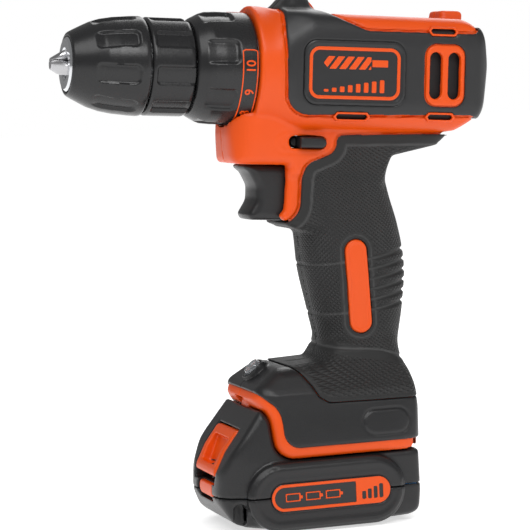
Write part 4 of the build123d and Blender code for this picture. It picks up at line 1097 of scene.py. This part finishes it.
@dataclass
class FootCover:
    """Dark cover over the foot, above its orange skirt."""

    form: BodyForm
    skin: float = 1.2
    edge: Outline = Outline((
        (-40, 62.2, 1), (-21.5, 61.2, 4), (-11.4, 52.6, 10), (-10.2, 36.3, 7), (80, 36.2, 1),
        (80, 90, 1), (-40, 90, 1)))

    def half(self, x: Array, y: Array, z: Array) -> Array:
        """Distance for y above 0."""
        whole = self.form.whole(x, y, z)
        pad = slot_shape(x, z, 25.0, 46.4, 39.2, 50.2)
        relief = groove(pad, 0.8, 0.6) - 0.25 * ramp(-pad, 0.6, 1.2)
        bezel = round_max(WorkLight.tube(x, y, z, 6.1, -6.0, 3.2), whole - 4.6, 1.0)
        skin = np.minimum(whole - self.skin + relief * (y > 12), bezel)
        shape = np.maximum(skin, -(whole + 0.4))
        shape = round_max(shape, self.edge.distance(x, z), 0.8)
        shape = round_max(shape, -(BOOT_SIDE.distance(x, z) - 0.15), 0.5)
        shape = round_max(shape, -WorkLight.tube(x, y, z, 4.5, -8.0, 9.0), 0.5)
        shape = round_max(shape, -np.maximum(rounded_rect(y, z - 41.8, 11.4, 6.4, 2.5), 44.0 - x), 0.5)
        return round_max(shape, SEAM - y, 0.4)

    def build(self, finishes: Finishes) -> None:
        """Build and dress both halves."""
        made = Moulding((-27.0, -0.6, 33.0), (60.0, 34.5, 76.0), 0.55).pair("foot_cover", self.half)
        for side in Side:
            dress(made[side], finishes.foot, "body", "black_plastic", f"{side.name.lower()}_foot_cover")


# ---------------------------------------- battery
@dataclass
class Battery:
    """Slide-on battery with its release button and labels."""

    half_width: float = 29.7
    pod_half_width: float = 33.5
    pod_step: float = 0.95
    front_x: float = -39.8
    rear_x: float = 52.2
    seam_z: float = 16.2
    side: Outline = Outline((
        (-14, 0, 24), (-33, 4.6, 10), (-39.6, 16, 8), (-38.4, 25.4, 14), (-33.2, 35.5, 16),
        (-19.6, 53.2, 0.8), (-15.8, 49.4, 10), (-14.0, 31.3, 8.5), (51.4, 31.3, 2), (51.8, 13, 6),
        (49.8, 2.0, 6), (22, 0, 60)))
    pod: tuple[float, float, float, float] = (-28.4, 42.6, 1.2, 30.6)
    label: tuple[float, float, float, float] = (-18.7, 35.3, 9.8, 22.0)
    button: Outline = Outline((
        (-38.6, 24.4, 1.2), (-37.8, 27.6, 4), (-33.8, 35.4, 14), (-27.7, 43.4, 1.2), (-24.2, 43.6, 1),
        (-29.4, 24.4, 1)))
    catch: Outline = Outline((
        (-25, 40, 1), (-18.8, 52, 2), (-18.2, 56.1, 0.4), (-15.6, 56.1, 0.4), (-18.5, 46, 2), (-23.5, 38, 1)))
    catch_slot: Outline = Outline((
        (-26.5, 36, 0.5), (-19.6, 51.5, 1), (-19.2, 60, 0.5), (-14, 60, 0.5), (-17.4, 45, 2),
        (-21.5, 36, 0.5)))
    button_half_width: float = 14.8
    catch_half_width: float = 5.6

    def form(self, x: Array, y: Array, z: Array) -> Array:
        """Outside of the case below its rail."""
        ay = np.abs(y)
        flank = ay - np.interp(z, (31, 60), (self.half_width, 25.4))
        flank = flank * np.interp(z, (32, 38), (1.0, 0.94))
        under = round_max(ay - self.half_width, -z, 9.0)
        plan = round_max(x - self.rear_x, ay - self.half_width, 5.5)
        nose = ay - np.interp(x, (self.front_x, -26.0, -16.0), (24.0, 29.5, 29.8))
        plan = np.maximum(plan, round_max(self.front_x - x, nose * 0.92, 9.0))
        shape = round_max(self.side.distance(x, z), round_max(flank, under, 1.0), 3.0)
        return round_max(shape, plan, 2.0)

    def pads(self, x: Array, y: Array, z: Array) -> Array:
        """Stepped slot-shaped pads on the sides."""
        pod = slot_shape(x, z, *self.pod)
        height = self.pod_half_width - self.pod_step * ramp(pod, -2.0, -1.4)
        height = height - 0.35 * (1 - ramp(pod, -4.4, -3.8))
        return round_max(np.abs(y) - height, np.maximum(pod, 26.0 - np.abs(y)), 1.5)

    def shell(self, x: Array, y: Array, z: Array) -> Array:
        """Both halves of the case with their hollow, well and seats."""
        ay = np.abs(y)
        form = self.form(x, y, z)
        shape = round_min(form, self.pads(x, y, z), 0.8)
        notch = np.maximum(slot_shape(x, z, -33.2, -28.2, 3.4, 14.0), 22.5 - ay)
        shape = round_max(shape, -notch, 0.9)
        hollow = np.maximum(form + 2.2, np.maximum(-28 - x, z - 29.6))
        well = np.maximum(np.maximum(20.9 - z, z - 44.2), ay - self.button_half_width - 0.4)
        well = np.maximum(well, x + 23.6)
        throat = np.maximum(self.catch_slot.distance(x, z), ay - self.catch_half_width - 0.5)
        hollow = np.maximum(hollow, 2.0 - well)
        shape = np.maximum(shape, -hollow)
        shape = round_max(np.maximum(shape, -throat), -well, 0.6)
        sink = np.maximum(-self.side.distance(x, z) - 3.0, x + 20)
        sink = np.maximum(rounded_rect(z - 17.2, ay, 4.2, 11.2, 2.6), sink)
        shape = round_max(shape, -sink, 0.5)
        seat = np.maximum(slot_shape(x, z, *self.label) - 0.2, self.pod_half_width - self.pod_step - ay)
        return round_max(shape, -seat, 0.4)

    def label_plate(self, x: Array, y: Array, z: Array) -> Array:
        """Dark plate of the side label."""
        edge = slot_shape(x, z, *self.label)
        return round_max(edge, np.maximum(np.abs(y) - 33.15, 32.55 - np.abs(y)), 0.25)

    def label_marks(self, x: Array, y: Array, z: Array) -> Array:
        """Orange outline, solid end and cell marks of the side label."""
        edge = slot_shape(x, z, *self.label)
        line = np.abs(edge + 0.95) - 0.7
        cap = np.maximum(edge + 0.5, 19.4 - x)
        for i in range(4):
            rise = 0.45 * i
            cap = np.maximum(cap, -rounded_rect(x - 23.0 - 2.6 * i, z - 14.1 - rise, 0.8, 1.6 + rise, 0.3))
        marks = np.minimum(line, cap)
        for i in range(3):
            cell = rounded_rect(x + 9.0 - 9.0 * i, z - 15.9, 3.4, 1.9, 0.5)
            knob = rounded_rect(x + 5.1 - 9.0 * i, z - 15.9, 0.5, 0.8, 0.2)
            marks = np.minimum(marks, np.minimum(np.abs(cell + 0.35) - 0.35, knob))
        return round_max(marks, np.maximum(np.abs(y) - 33.42, 33.0 - np.abs(y)), 0.15)

    def rail(self, x: Array, y: Array, z: Array) -> Array:
        """Undercut rail that slides into the foot."""
        ay = np.abs(y)
        width = np.where((z > 35.9) & (z < 39.7), 15.4, 18.2)
        ends = np.maximum(0.5 - x, x - 46.0)
        shape = np.maximum(ay - width, np.maximum(ends, np.maximum(30.4 - z, z - 43.5)))
        for centre in (0.0, 9.0):
            slot = box_cut(x, np.abs(ay - centre), z, (22, -1, 34), (50, 1.6, 41.9))
            shape = np.maximum(shape, -slot)
        return shape

    def upper(self, x: Array, y: Array, z: Array) -> Array:
        """Upper case."""
        shape = np.minimum(self.shell(x, y, z), self.rail(x, y, z))
        return round_max(shape, self.seam_z + 0.1 - z, 0.5)

    def lower(self, x: Array, y: Array, z: Array) -> Array:
        """Lower case."""
        return round_max(self.shell(x, y, z), z - self.seam_z + 0.1, 0.5)

    def release(self, x: Array, y: Array, z: Array) -> Array:
        """Release button: a framed dish above a thumb ledge."""
        ay = np.abs(y)
        edge = self.button.distance(x, z)
        shape = round_max(edge, ay - self.button_half_width, 1.4)
        inward = (x + 33.4) * 0.893 - (z - 34.4) * 0.451
        along = (x + 33.4) * 0.451 + (z - 34.4) * 0.893
        width = 11.2 - 0.12 * (7.0 - along)
        depth = 3.3 - 0.05 * along
        dish = round_max(rounded_rect(along - 0.2, ay, 6.5, width, 2.2), inward - depth, 1.0)
        shape = round_max(shape, -dish, 0.8)
        hook = np.maximum(self.catch.distance(x, z), ay - self.catch_half_width)
        return np.minimum(shape, hook)

    def thumb_tab(self, x: Array, y: Array, z: Array) -> Array:
        """Fixed orange tab in the recess under the button."""
        ay = np.abs(y)
        nose = self.side.distance(x, z)
        face = np.maximum(nose + 1.0, -nose - 3.4)
        return round_max(face, rounded_rect(z - 17.6, ay, 3.0, 9.4, 1.6), 0.6)

    def build(self, finishes: Finishes) -> None:
        """Build and dress the battery."""
        case = Moulding((-41.5, -35.0, 15.4), (55.0, 35.0, 58.0), 0.75)
        dress(case.build("battery_upper_shell", self.upper), finishes.battery, "battery", "black_plastic",
              "battery_upper_case")
        tray = Moulding((-41.5, -35.0, -1.2), (55.0, 35.0, 17.4), 0.7)
        dress(tray.build("battery_lower_shell", self.lower), finishes.battery, "battery", "black_plastic",
              "battery_lower_case")
        low, high = (-20.0, 32.0, 8.6), (36.6, 34.2, 23.2)
        plates = Moulding(low, high, 0.42).pair("battery_label", self.label_plate)
        marks = Moulding(low, high, 0.28).pair("battery_label_mark", self.label_marks)
        for side in Side:
            dress(plates[side], finishes.plate, "battery", "orange_plastic", "battery_labels")
            dress(marks[side], finishes.orange, "battery", "orange_plastic")
        tab = Moulding((-41.0, -11.0, 13.6), (-33.0, 11.0, 22.0), 0.35)
        dress(tab.build("battery_thumb_tab", self.thumb_tab), finishes.orange, "battery", "orange_plastic")
        button = Moulding((-40.0, -15.8, 23.0), (-14.0, 15.8, 58.0), 0.38)
        dress(button.build("battery_release", self.release), finishes.orange, "battery_latch",
              "orange_plastic", "battery_latch")


# ---------------------------------------- chuck and collar
class Nodes(Shade):
    """Geometry Nodes tree with named inputs."""

    def __init__(self, name: str, inputs: dict[str, tuple[str, Any]]) -> None:
        """Start a tree.

        Args:
            name: Name of the tree.
            inputs: Type and default of each named input.
        """
        self.tree = bpy.data.node_groups.new(name, "GeometryNodeTree")
        self.sockets: dict[str, str] = {}
        for title, (kind, default) in inputs.items():
            socket = self.tree.interface.new_socket(title, in_out="INPUT", socket_type=kind)
            if default is not None:
                socket.default_value = default
            self.sockets[title] = socket.identifier
        self.tree.interface.new_socket("Geometry", in_out="OUTPUT", socket_type="NodeSocketGeometry")
        self.start = self.node("NodeGroupInput")

    def given(self, title: str) -> Wire:
        """One named input."""
        return self.start.out(title)

    def close(self, shape: Wire) -> None:
        """End the tree with real geometry and its material."""
        real = self.node("GeometryNodeRealizeInstances", None, {0: shape}).out(0)
        given = {"Geometry": real, "Material": self.given("Material")}
        painted = self.node("GeometryNodeSetMaterial", None, given)
        end = self.tree.nodes.new("NodeGroupOutput")
        self.tree.links.new(painted.out(0).socket, end.inputs[0])

    def bake(self, name: str, values: dict[str, Any], place: Matrix, smooth: float) -> Any:
        """Run the tree and keep its result as a plain mesh.

        Args:
            name: Name of the piece.
            values: Value for each named input.
            place: Placement of the result.
            smooth: Angle in degrees above which edges stay sharp.

        Returns:
            The piece.
        """
        carrier = bpy.data.objects.new(f"{name}_carrier", bpy.data.meshes.new(f"{name}_carrier"))
        bpy.context.scene.collection.objects.link(carrier)
        modifier = carrier.modifiers.new("shape", "NODES")
        modifier.node_group = self.tree
        for title, value in values.items():
            modifier[self.sockets[title]] = value
        graph = bpy.context.evaluated_depsgraph_get()
        mesh = bpy.data.meshes.new_from_object(carrier.evaluated_get(graph), depsgraph=graph)
        bpy.data.objects.remove(carrier)
        mesh.name = name
        mesh.transform(place)
        tidy = bmesh.new()
        tidy.from_mesh(mesh)
        if tidy.calc_volume(signed=True) < 0:
            bmesh.ops.reverse_faces(tidy, faces=tidy.faces)
        tidy.to_mesh(mesh)
        tidy.free()
        mesh.shade_smooth()
        mesh.set_sharp_from_angle(angle=math.radians(smooth))
        piece = add_object(name, mesh)
        LOG.info("%s: %d faces", name, len(mesh.polygons))
        return piece


@dataclass(frozen=True)
class PocketedRing:
    """Ring of revolution about the spindle with grip pockets sunk into its outside.

    Attributes:
        name: Name of the piece.
        profile: Closed outline as (u, radius), from the front of the bore round the outside.
        count: Number of pockets.
        span: First and last u of a pocket.
        half_width: Half the width of a pocket.
        floor: Radius of the pocket's floor.
        phase: Direction of the first pocket in degrees.
        softness: Width of the pocket's sloping wall.
        depth: Most that a pocket is sunk.
        corner: Radius of a pocket's corners, or None for a round end.
        join: Distance in metres within which the grid's seams are merged.
    """

    name: str
    profile: tuple[tuple[float, float], ...]
    count: int
    span: tuple[float, float]
    half_width: float
    floor: float
    phase: float
    softness: float = 0.8
    depth: float = 1.45
    corner: float | None = None
    join: ClassVar[float] = 0.000002

    def curve(self, tree: Nodes, where: Wire, column: int) -> Wire:
        """Coordinate of the outline, in metres, along its length from 0 to 1."""
        points = np.array(self.profile + self.profile[:1])
        length = np.concatenate(([0.0], np.cumsum(np.hypot(*np.diff(points, axis=0).T))))
        length /= length[-1]
        low, high = points[:, column].min(), points[:, column].max()
        made = tree.node("ShaderNodeFloatCurve", None, {"Value": where})
        line = made.node.mapping.curves[0]
        for t, value in zip(length[1:-1], points[1:-1, column]):
            line.points.new(float(t), float((value - low) / (high - low)))
        ends = (points[0, column] - low) / (high - low)
        line.points[0].location, line.points[-1].location = (0.0, ends), (1.0, ends)
        for point in line.points:
            point.handle_type = "VECTOR"
        made.node.mapping.update()
        return made.out(0) * ((high - low) * MM) + low * MM

    def build(self, material: Any, around: int = 280, along: int = 150) -> Any:
        """Build the ring through its node tree."""
        floats = ("Pockets", "Pocket start", "Pocket end", "Pocket half width", "Pocket floor",
                  "Pocket depth", "Pocket corner", "Softness", "Phase")
        inputs: dict[str, tuple[str, Any]] = {title: ("NodeSocketFloat", 0.0) for title in floats}
        inputs |= {"Around": ("NodeSocketInt", around), "Along": ("NodeSocketInt", along),
                   "Material": ("NodeSocketMaterial", None)}
        tree = Nodes(f"{self.name}_tree", inputs)
        grid = tree.node("GeometryNodeMeshGrid", None, {
            "Size X": 1.0, "Size Y": 1.0, "Vertices X": tree.given("Along"),
            "Vertices Y": tree.given("Around")})
        split = tree.node("ShaderNodeSeparateXYZ", None, {0: tree.node("GeometryNodeInputPosition").out(0)})
        where = (split.out(0) + 0.5).clamp()
        angle = (split.out(1) + 0.5) * (2 * math.pi)
        reach, radius = self.curve(tree, where, 0), self.curve(tree, where, 1)
        turn = {0: 2 * math.pi, 1: tree.given("Pockets")}
        pitch = tree.node("ShaderNodeMath", {"operation": "DIVIDE"}, turn).out(0)
        turned = (angle - tree.given("Phase")).maths("DIVIDE", pitch)
        offset = (turned - turned.maths("ROUND")) * pitch * radius
        half_length = (tree.given("Pocket end") - tree.given("Pocket start")) * 0.5
        middle = (tree.given("Pocket end") + tree.given("Pocket start")) * 0.5
        corner = tree.given("Pocket corner")
        past = ((reach - middle).maths("ABSOLUTE") - half_length + corner).maths("MAXIMUM", 0.0)
        aside = (offset.maths("ABSOLUTE") - tree.given("Pocket half width") + corner).maths("MAXIMUM", 0.0)
        edge = (past * past + aside * aside).maths("SQRT") - corner
        mask = (0.5 - edge.maths("DIVIDE", tree.given("Softness"))).clamp()
        mask = mask * mask * (3.0 - mask * 2.0)
        room = (radius - tree.given("Pocket floor")).maths("MAXIMUM", 0.0)
        sunk = radius - mask * room.maths("MINIMUM", tree.given("Pocket depth"))
        joined = tree.node("ShaderNodeCombineXYZ", None, {
            0: reach, 1: sunk * angle.maths("COSINE"), 2: sunk * angle.maths("SINE")}).out(0)
        moved = tree.node("GeometryNodeSetPosition", None, {"Geometry": grid.out("Mesh"), "Position": joined})
        joins = {"Geometry": moved.out(0), "Distance": self.join}
        tree.close(tree.node("GeometryNodeMergeByDistance", None, joins).out(0))
        lengths = {"Pocket start": self.span[0], "Pocket end": self.span[1], "Pocket floor": self.floor,
                   "Pocket half width": self.half_width, "Pocket depth": self.depth,
                   "Softness": self.softness, "Pocket corner": self.corner or self.half_width}
        values = {title: length * MM for title, length in lengths.items()}
        values |= {"Pockets": float(self.count), "Phase": math.radians(self.phase), "Around": around + 1,
                   "Along": along, "Material": material}
        return tree.bake(self.name, values, barrel_matrix(), 60.0)


@dataclass
class Chuck:
    """Keyless chuck: two plastic sleeves round the steel core."""

    front: PocketedRing = PocketedRing("front_sleeve_shell", (
        (-98.2, 12.1), (-98.4, 12.9), (-98, 13.6), (-95.6, 14.9), (-92.2, 16.6), (-88.6, 18.3), (-84.4, 19.6),
        (-79, 20.5), (-72, 21.1), (-67.9, 21.3), (-66.7, 21.1), (-66.3, 20.5), (-66.3, 18), (-75.9, 18),
        (-75.9, 17.7), (-82.3, 17.7), (-82.3, 14.9), (-93.2, 14.9), (-93.2, 12.1)),
        count=8, span=(-89.2, -70.6), half_width=4.0, floor=18.0, phase=11,
        softness=0.8, depth=1.3, corner=2.4)
    rear: PocketedRing = PocketedRing("rear_sleeve_shell", (
        (-65.5, 17.7), (-65.5, 20.0), (-65.2, 20.6), (-64.5, 21), (-48.2, 21), (-47.0, 20.4), (-46.6, 19.6),
        (-46.6, 17.7)),
        count=8, span=(-63.4, -40), half_width=3.8, floor=19.3, phase=11, corner=1.2)

    def build(self, finishes: Finishes) -> None:
        """Build and dress the sleeves."""
        dress(self.front.build(finishes.sleeve), finishes.sleeve, "sleeve", "sleeve_plastic", "front_sleeve")
        dress(self.rear.build(finishes.sleeve, 280, 90), finishes.sleeve, "spindle", "sleeve_plastic",
              "rear_sleeve")


@dataclass
class TorqueCollar:
    """Torque collar with grip pockets and a numbered dial."""

    ring: PocketedRing = PocketedRing("clutch_collar_shell", (
        (-45.8, 13.2), (-45.8, 20.2), (-45.2, 21.0), (-40.8, 23.3), (-38.6, 24.0), (-34, 24.3), (-21.0, 24.3),
        (-20.5, 24.1), (-20.4, 23.6), (-20.4, 21.4), (-42.6, 21.4), (-43, 13.2)),
        count=7, span=(-43.4, -28.6), half_width=5.0, floor=22.6, phase=60,
        softness=1.1, depth=1.4, corner=2.2)
    step: float = math.radians(26.0)
    ten_at: float = math.radians(178.0)
    radius: float = 24.3
    number_u: float = -23.7
    number_size: float = 5.6
    bit_back: float = math.radians(92.0)
    window_u: tuple[float, float] = (-20.95, -27.3)
    margin: float = math.radians(17.0)
    line_half: float = 0.24
    relief: tuple[float, float] = (-0.05, 0.2)

    def wrap(self, piece: Any, centre_angle: float, u: float, lift: float) -> None:
        """Lay a flat mark, drawn in millimetres, on the collar.

        Args:
            piece: Mark with its width along X and height along Y, thickness along Z.
            centre_angle: Direction of its middle.
            u: Place along the spindle.
            lift: Height of the lower face above the collar.
        """
        p = points_mm(piece)
        angle = centre_angle - p[:, 0] / self.radius
        reach = self.radius + lift + p[:, 2]
        flat = np.stack([u - p[:, 1], reach * np.cos(angle), reach * np.sin(angle)], 1)
        piece.data.vertices.foreach_set("co", on_barrel(flat).ravel())
        piece.data.update()

    def numeral(self, text: str, size: float) -> Any:
        """Raised numeral about the origin, in metres standing for millimetres."""
        curve = bpy.data.curves.new(f"dial_{text}", "FONT")
        curve.body, curve.size = text, size * MM
        curve.align_x, curve.align_y = "CENTER", "CENTER"
        curve.extrude, curve.offset = 0.00022, 0.00008
        holder = add_object(f"dial_{text}", curve)
        graph = bpy.context.evaluated_depsgraph_get()
        mesh = bpy.data.meshes.new_from_object(holder.evaluated_get(graph), depsgraph=graph)
        bpy.data.objects.remove(holder)
        return add_object(f"dial_{text}", mesh)

    def window(self) -> Any:
        """Thin raised line round all the numerals."""
        start, end = self.ten_at - self.margin, self.ten_at + 9 * self.step + self.margin
        (inner, outer), count = self.window_u, 200
        angles = np.linspace(start, end, count)
        bend = 1.3 / self.radius
        route = [(inner, a) for a in angles[1:-1]] + [(inner - 0.4, end - bend * 0.3), (inner - 1.3, end)]
        route += [(outer + 1.3, end), (outer + 0.4, end - bend * 0.3)] + [(outer, a) for a in angles[-2:0:-1]]
        route += [(outer + 0.4, start + bend * 0.3), (outer + 1.3, start), (inner - 1.3, start),
                  (inner - 0.4, start + bend * 0.3)]
        path = np.array([(u, a * self.radius) for u, a in route])
        ahead = np.roll(path, -1, axis=0) - np.roll(path, 1, axis=0)
        side = np.stack([ahead[:, 1], -ahead[:, 0]], 1) / np.linalg.norm(ahead, axis=1)[:, None]
        rings = []
        (low, high), half = self.relief, self.line_half
        for offset, lift in ((-half, low), (-half, high), (half, high), (half, low)):
            edge = path + side * offset
            reach, angle = self.radius + lift, edge[:, 1] / self.radius
            rings.append(np.stack([edge[:, 0], reach * np.cos(angle), reach * np.sin(angle)], 1))
        size = len(path)
        starts = [(r * size, (r + 1) % 4 * size) for r in range(4)]
        faces = [(a + i, a + (i + 1) % size, b + (i + 1) % size, b + i)
                 for a, b in starts for i in range(size)]
        return link_mesh("collar_window", on_barrel(np.concatenate(rings)), faces, 50.0)

    def bit(self) -> Any:
        """Small drill-bit mark for the locked setting."""
        shape = [(-4.2, 0.0), (-3.2, 0.9), (0.4, 0.9), (0.4, 0.5), (3.8, 0.5), (3.8, -0.5), (0.4, -0.5),
                 (0.4, -0.9), (-3.2, -0.9)]
        centre = self.ten_at - self.bit_back
        rings = []
        for height in self.relief:
            reach = self.radius + height
            rings += [(self.number_u + x, reach, centre + y * 1.4 / self.radius) for x, y in shape]
        flat = np.array([(u, r * math.cos(a), r * math.sin(a)) for u, r, a in rings])
        size = len(shape)
        faces: list[Sequence[int]] = [tuple(range(size))[::-1], tuple(range(size, 2 * size))]
        faces += [(i, (i + 1) % size, size + (i + 1) % size, size + i) for i in range(size)]
        return link_mesh("collar_bit", on_barrel(flat), faces, None)

    def join(self, name: str, pieces: list[Any]) -> Any:
        """One piece from several meshes."""
        together = bmesh.new()
        for piece in pieces:
            together.from_mesh(piece.data)
        bmesh.ops.recalc_face_normals(together, faces=together.faces)
        mesh = bpy.data.meshes.new(name)
        together.to_mesh(mesh)
        together.free()
        for piece in pieces:
            bpy.data.objects.remove(piece)
        return add_object(name, mesh)

    def build(self, finishes: Finishes) -> None:
        """Build and dress the collar and its dial."""
        dress(self.ring.build(finishes.sleeve, 280, 120), finishes.sleeve, "clutch_collar", "sleeve_plastic",
              "clutch_collar")
        marks = []
        for i in range(10):
            mark = self.numeral(str(10 - i), self.number_size)
            self.wrap(mark, self.ten_at + self.step * i, self.number_u, 0.0)
            marks.append(mark)
        marks.append(self.window())
        marks.append(self.bit())
        dial = self.join("collar_numbers", marks)
        dress(dial, finishes.orange, "clutch_collar", "orange_plastic")


# ---------------------------------------- controls
@dataclass
class Controls:
    """Trigger and direction selector."""

    half_width: float = 11.0
    side: Outline = Outline((
        (-24.2, -41, 1), (-19.6, -44.4, 4), (-16.4, -50, 6), (-16.4, -56.5, 6), (-19.9, -62.6, 1.8),
        (-18.4, -64.7, 1.2), (-2, -64.7, 1), (-2, -41, 1)))

    def trigger(self, x: Array, y: Array, z: Array) -> Array:
        """Finger piece and its stem."""
        u, w = to_barrel(x, z)
        ay = np.abs(y)
        front = round_max(-27.0 - u, ay - self.half_width, 6.5)
        crown = self.side.distance(u - 0.014 * ay * ay, w)
        shape = round_max(round_max(crown, ay - self.half_width, 3.2), front, 2.0)
        room = box_cut(u, ay, w, (-12.5, -1, -62.7), (0, self.half_width - 2, -43))
        shape = np.maximum(shape, -room)
        stem = np.maximum(np.hypot(y, w + 52) - 2.8, np.maximum(-14 - u, u - 11))
        return np.minimum(shape, stem)

    def selector(self, x: Array, y: Array, z: Array) -> Array:
        """Push-through bar with bevelled ends."""
        u, w = to_barrel(x, z)
        flat = slot_shape(u, w, -2.6, 11.6, -33.1, -28.3)
        shape = round_max(flat, np.abs(y) - 22.4, 1.3)
        shape = round_max(shape, -np.maximum(u + 0.2, 14.0 - np.abs(y)), 0.9)
        return np.maximum(shape, -box_cut(u, np.abs(y), w, (-4, -1, -31.2), (13, 3, -20)))

    def build(self, finishes: Finishes) -> None:
        """Build and dress the controls."""
        piece = Moulding((-24.5, -12, 130.0), (19.5, 12, 158.5), 0.42).build("trigger_shell", self.trigger)
        dress(piece, finishes.trigger, "trigger", "trigger_plastic", "trigger")
        room = Moulding((0.0, -23.5, 160.0), (21.0, 23.5, 171.5), 0.4)
        bar = room.build("direction_selector_bar", self.selector)
        dress(bar, finishes.trigger, "direction_selector", "trigger_plastic", "direction_selector")


# ---------------------------------------- carried-over nodes
def dress_cad(finishes: Finishes) -> None:
    """Give the CAD nodes that stay their materials."""
    look = {
        finishes.lens: ("work_light_lens",), finishes.board: ("work_light_board",),
        finishes.dark_metal: ("housing_screws", "chuck_screw", "clutch_spring", "latch_spring"),
        finishes.zinc: ("gearbox_housing",), finishes.bronze: ("spindle_bearing",),
        finishes.chrome: ("chuck_body",), finishes.jaws: ("jaw_a", "jaw_b", "jaw_c"),
        finishes.can: ("motor_can",), finishes.magnet: ("motor_magnets", "rotor_core", "motor_brushes"),
        finishes.copper: ("commutator",), finishes.contact: ("tool_terminals", "battery_terminals"),
        finishes.wrap: ("battery_cells",), finishes.inner: ("motor_end_bell", "switch_body", "clutch_nut"),
        finishes.gears: (
            "ring_gear_first", "ring_gear_second", "planet_first_a", "planet_first_b", "planet_first_c",
            "planet_second_a", "planet_second_b", "planet_second_c", "first_carrier", "output_spindle",
            "clutch_pins", "chuck_nut", "rotor_shaft", "motor_pinion")}
    for material, names in look.items():
        for name in names:
            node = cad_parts[name]
            node.data.materials.clear()
            node.data.materials.append(material)


# ---------------------------------------- studio
@dataclass
class Studio:
    """Pale floor, soft lights and the camera."""

    lens: float = 176.6
    sensor: float = 36.0
    distance: float = 1.131
    target: tuple[float, float, float] = (-0.0068, 0.0, 0.113)
    right: tuple[float, float, float] = (0.95384, -0.29715, -0.04347)
    up: tuple[float, float, float] = (0.06561, 0.06492, 0.99573)
    aim: tuple[float, float, float] = (0.0, 0.0, 0.12)
    lamps: tuple[tuple[str, float, float, tuple[float, float, float]], ...] = (
        ("key_light", 7.0, 0.5, (0.05, -1.25, 1.15)), ("fill_light", 1.2, 1.0, (0.95, -1.1, 0.45)),
        ("rim_light", 5.0, 0.8, (0.6, 0.9, 0.9)))
    sky_share: float = 0.24
    sun_power: float = 1.15
    floor_half: float = 6.0

    def camera(self) -> None:
        """Place the camera."""
        data = bpy.data.cameras.new("camera")
        data.lens, data.sensor_width = self.lens, self.sensor
        data.clip_start, data.clip_end = 0.05, 20.0
        eye = add_object("camera", data)
        right, up = Vector(self.right).normalized(), Vector(self.up).normalized()
        back = right.cross(up).normalized()
        turn = Matrix((right, up, back)).transposed().to_4x4()
        eye.matrix_world = Matrix.Translation(Vector(self.target) + back * self.distance) @ turn
        bpy.context.scene.camera = eye

    def light(self, name: str, power: float, size: float, place: tuple[float, float, float]) -> None:
        """One soft area light that faces the drill."""
        data = bpy.data.lights.new(name, "AREA")
        data.energy, data.size = power, size
        lamp = add_object(name, data)
        lamp.location = place
        lamp.rotation_euler = (Vector(self.aim) - Vector(place)).to_track_quat("-Z", "Y").to_euler()

    def floor(self) -> None:
        """Plain pale floor."""
        corners = self.floor_half * np.array([[-1, -1, 0], [1, -1, 0], [1, 1, 0], [-1, 1, 0]], float)
        piece = link_mesh("floor", corners, [(0, 1, 2, 3)], None)
        shade = Shade("pale_floor")
        base = shade.mix(shade.noise(3.0, 2.0), (0.88, 0.88, 0.88, 1.0), (0.9, 0.9, 0.9, 1.0))
        piece.data.materials.append(shade.finish({
            "Base Color": base, "Roughness": 0.8, "Emission Color": WHITE, "Emission Strength": 0.6}))

    def build(self) -> None:
        """Build the whole studio."""
        self.camera()
        self.floor()
        for lamp in self.lamps:
            self.light(*lamp)
        world = bpy.data.worlds.new("studio")
        world.use_nodes = True
        tree = world.node_tree
        background = tree.nodes["Background"]
        background.inputs["Color"].default_value = WHITE
        background.inputs["Strength"].default_value = self.sky_share
        backdrop = tree.nodes.new("ShaderNodeBackground")
        backdrop.inputs["Color"].default_value = WHITE
        chooser, path = tree.nodes.new("ShaderNodeMixShader"), tree.nodes.new("ShaderNodeLightPath")
        chosen = (path.outputs["Is Camera Ray"], background.outputs[0], backdrop.outputs[0])
        for socket, source in enumerate(chosen):
            tree.links.new(source, chooser.inputs[socket])
        tree.links.new(chooser.outputs[0], tree.nodes["World Output"].inputs["Surface"])
        sun = bpy.data.lights.new("sky_light", "SUN")
        sun.energy, sun.angle = self.sun_power, math.radians(40.0)
        sky = add_object("sky_light", sun)
        sky.rotation_euler = (math.radians(28.0), math.radians(-26.0), 0.0)
        bpy.context.scene.world = world
        bpy.context.scene.view_settings.view_transform = "Standard"


def main() -> None:
    """Build the drill and its studio."""
    logging.basicConfig(level=logging.INFO, format="%(message)s")
    finishes = Finishes()
    form = BodyForm()
    dress_cad(finishes)
    Housing(form).build(finishes)
    SideTrim(form).build(finishes)
    Grip(form).build(finishes)
    FootCover(form).build(finishes)
    Battery().build(finishes)
    Chuck().build(finishes)
    TorqueCollar().build(finishes)
    Controls().build(finishes)
    Studio().build()


if __name__ == "__main__":
    main()
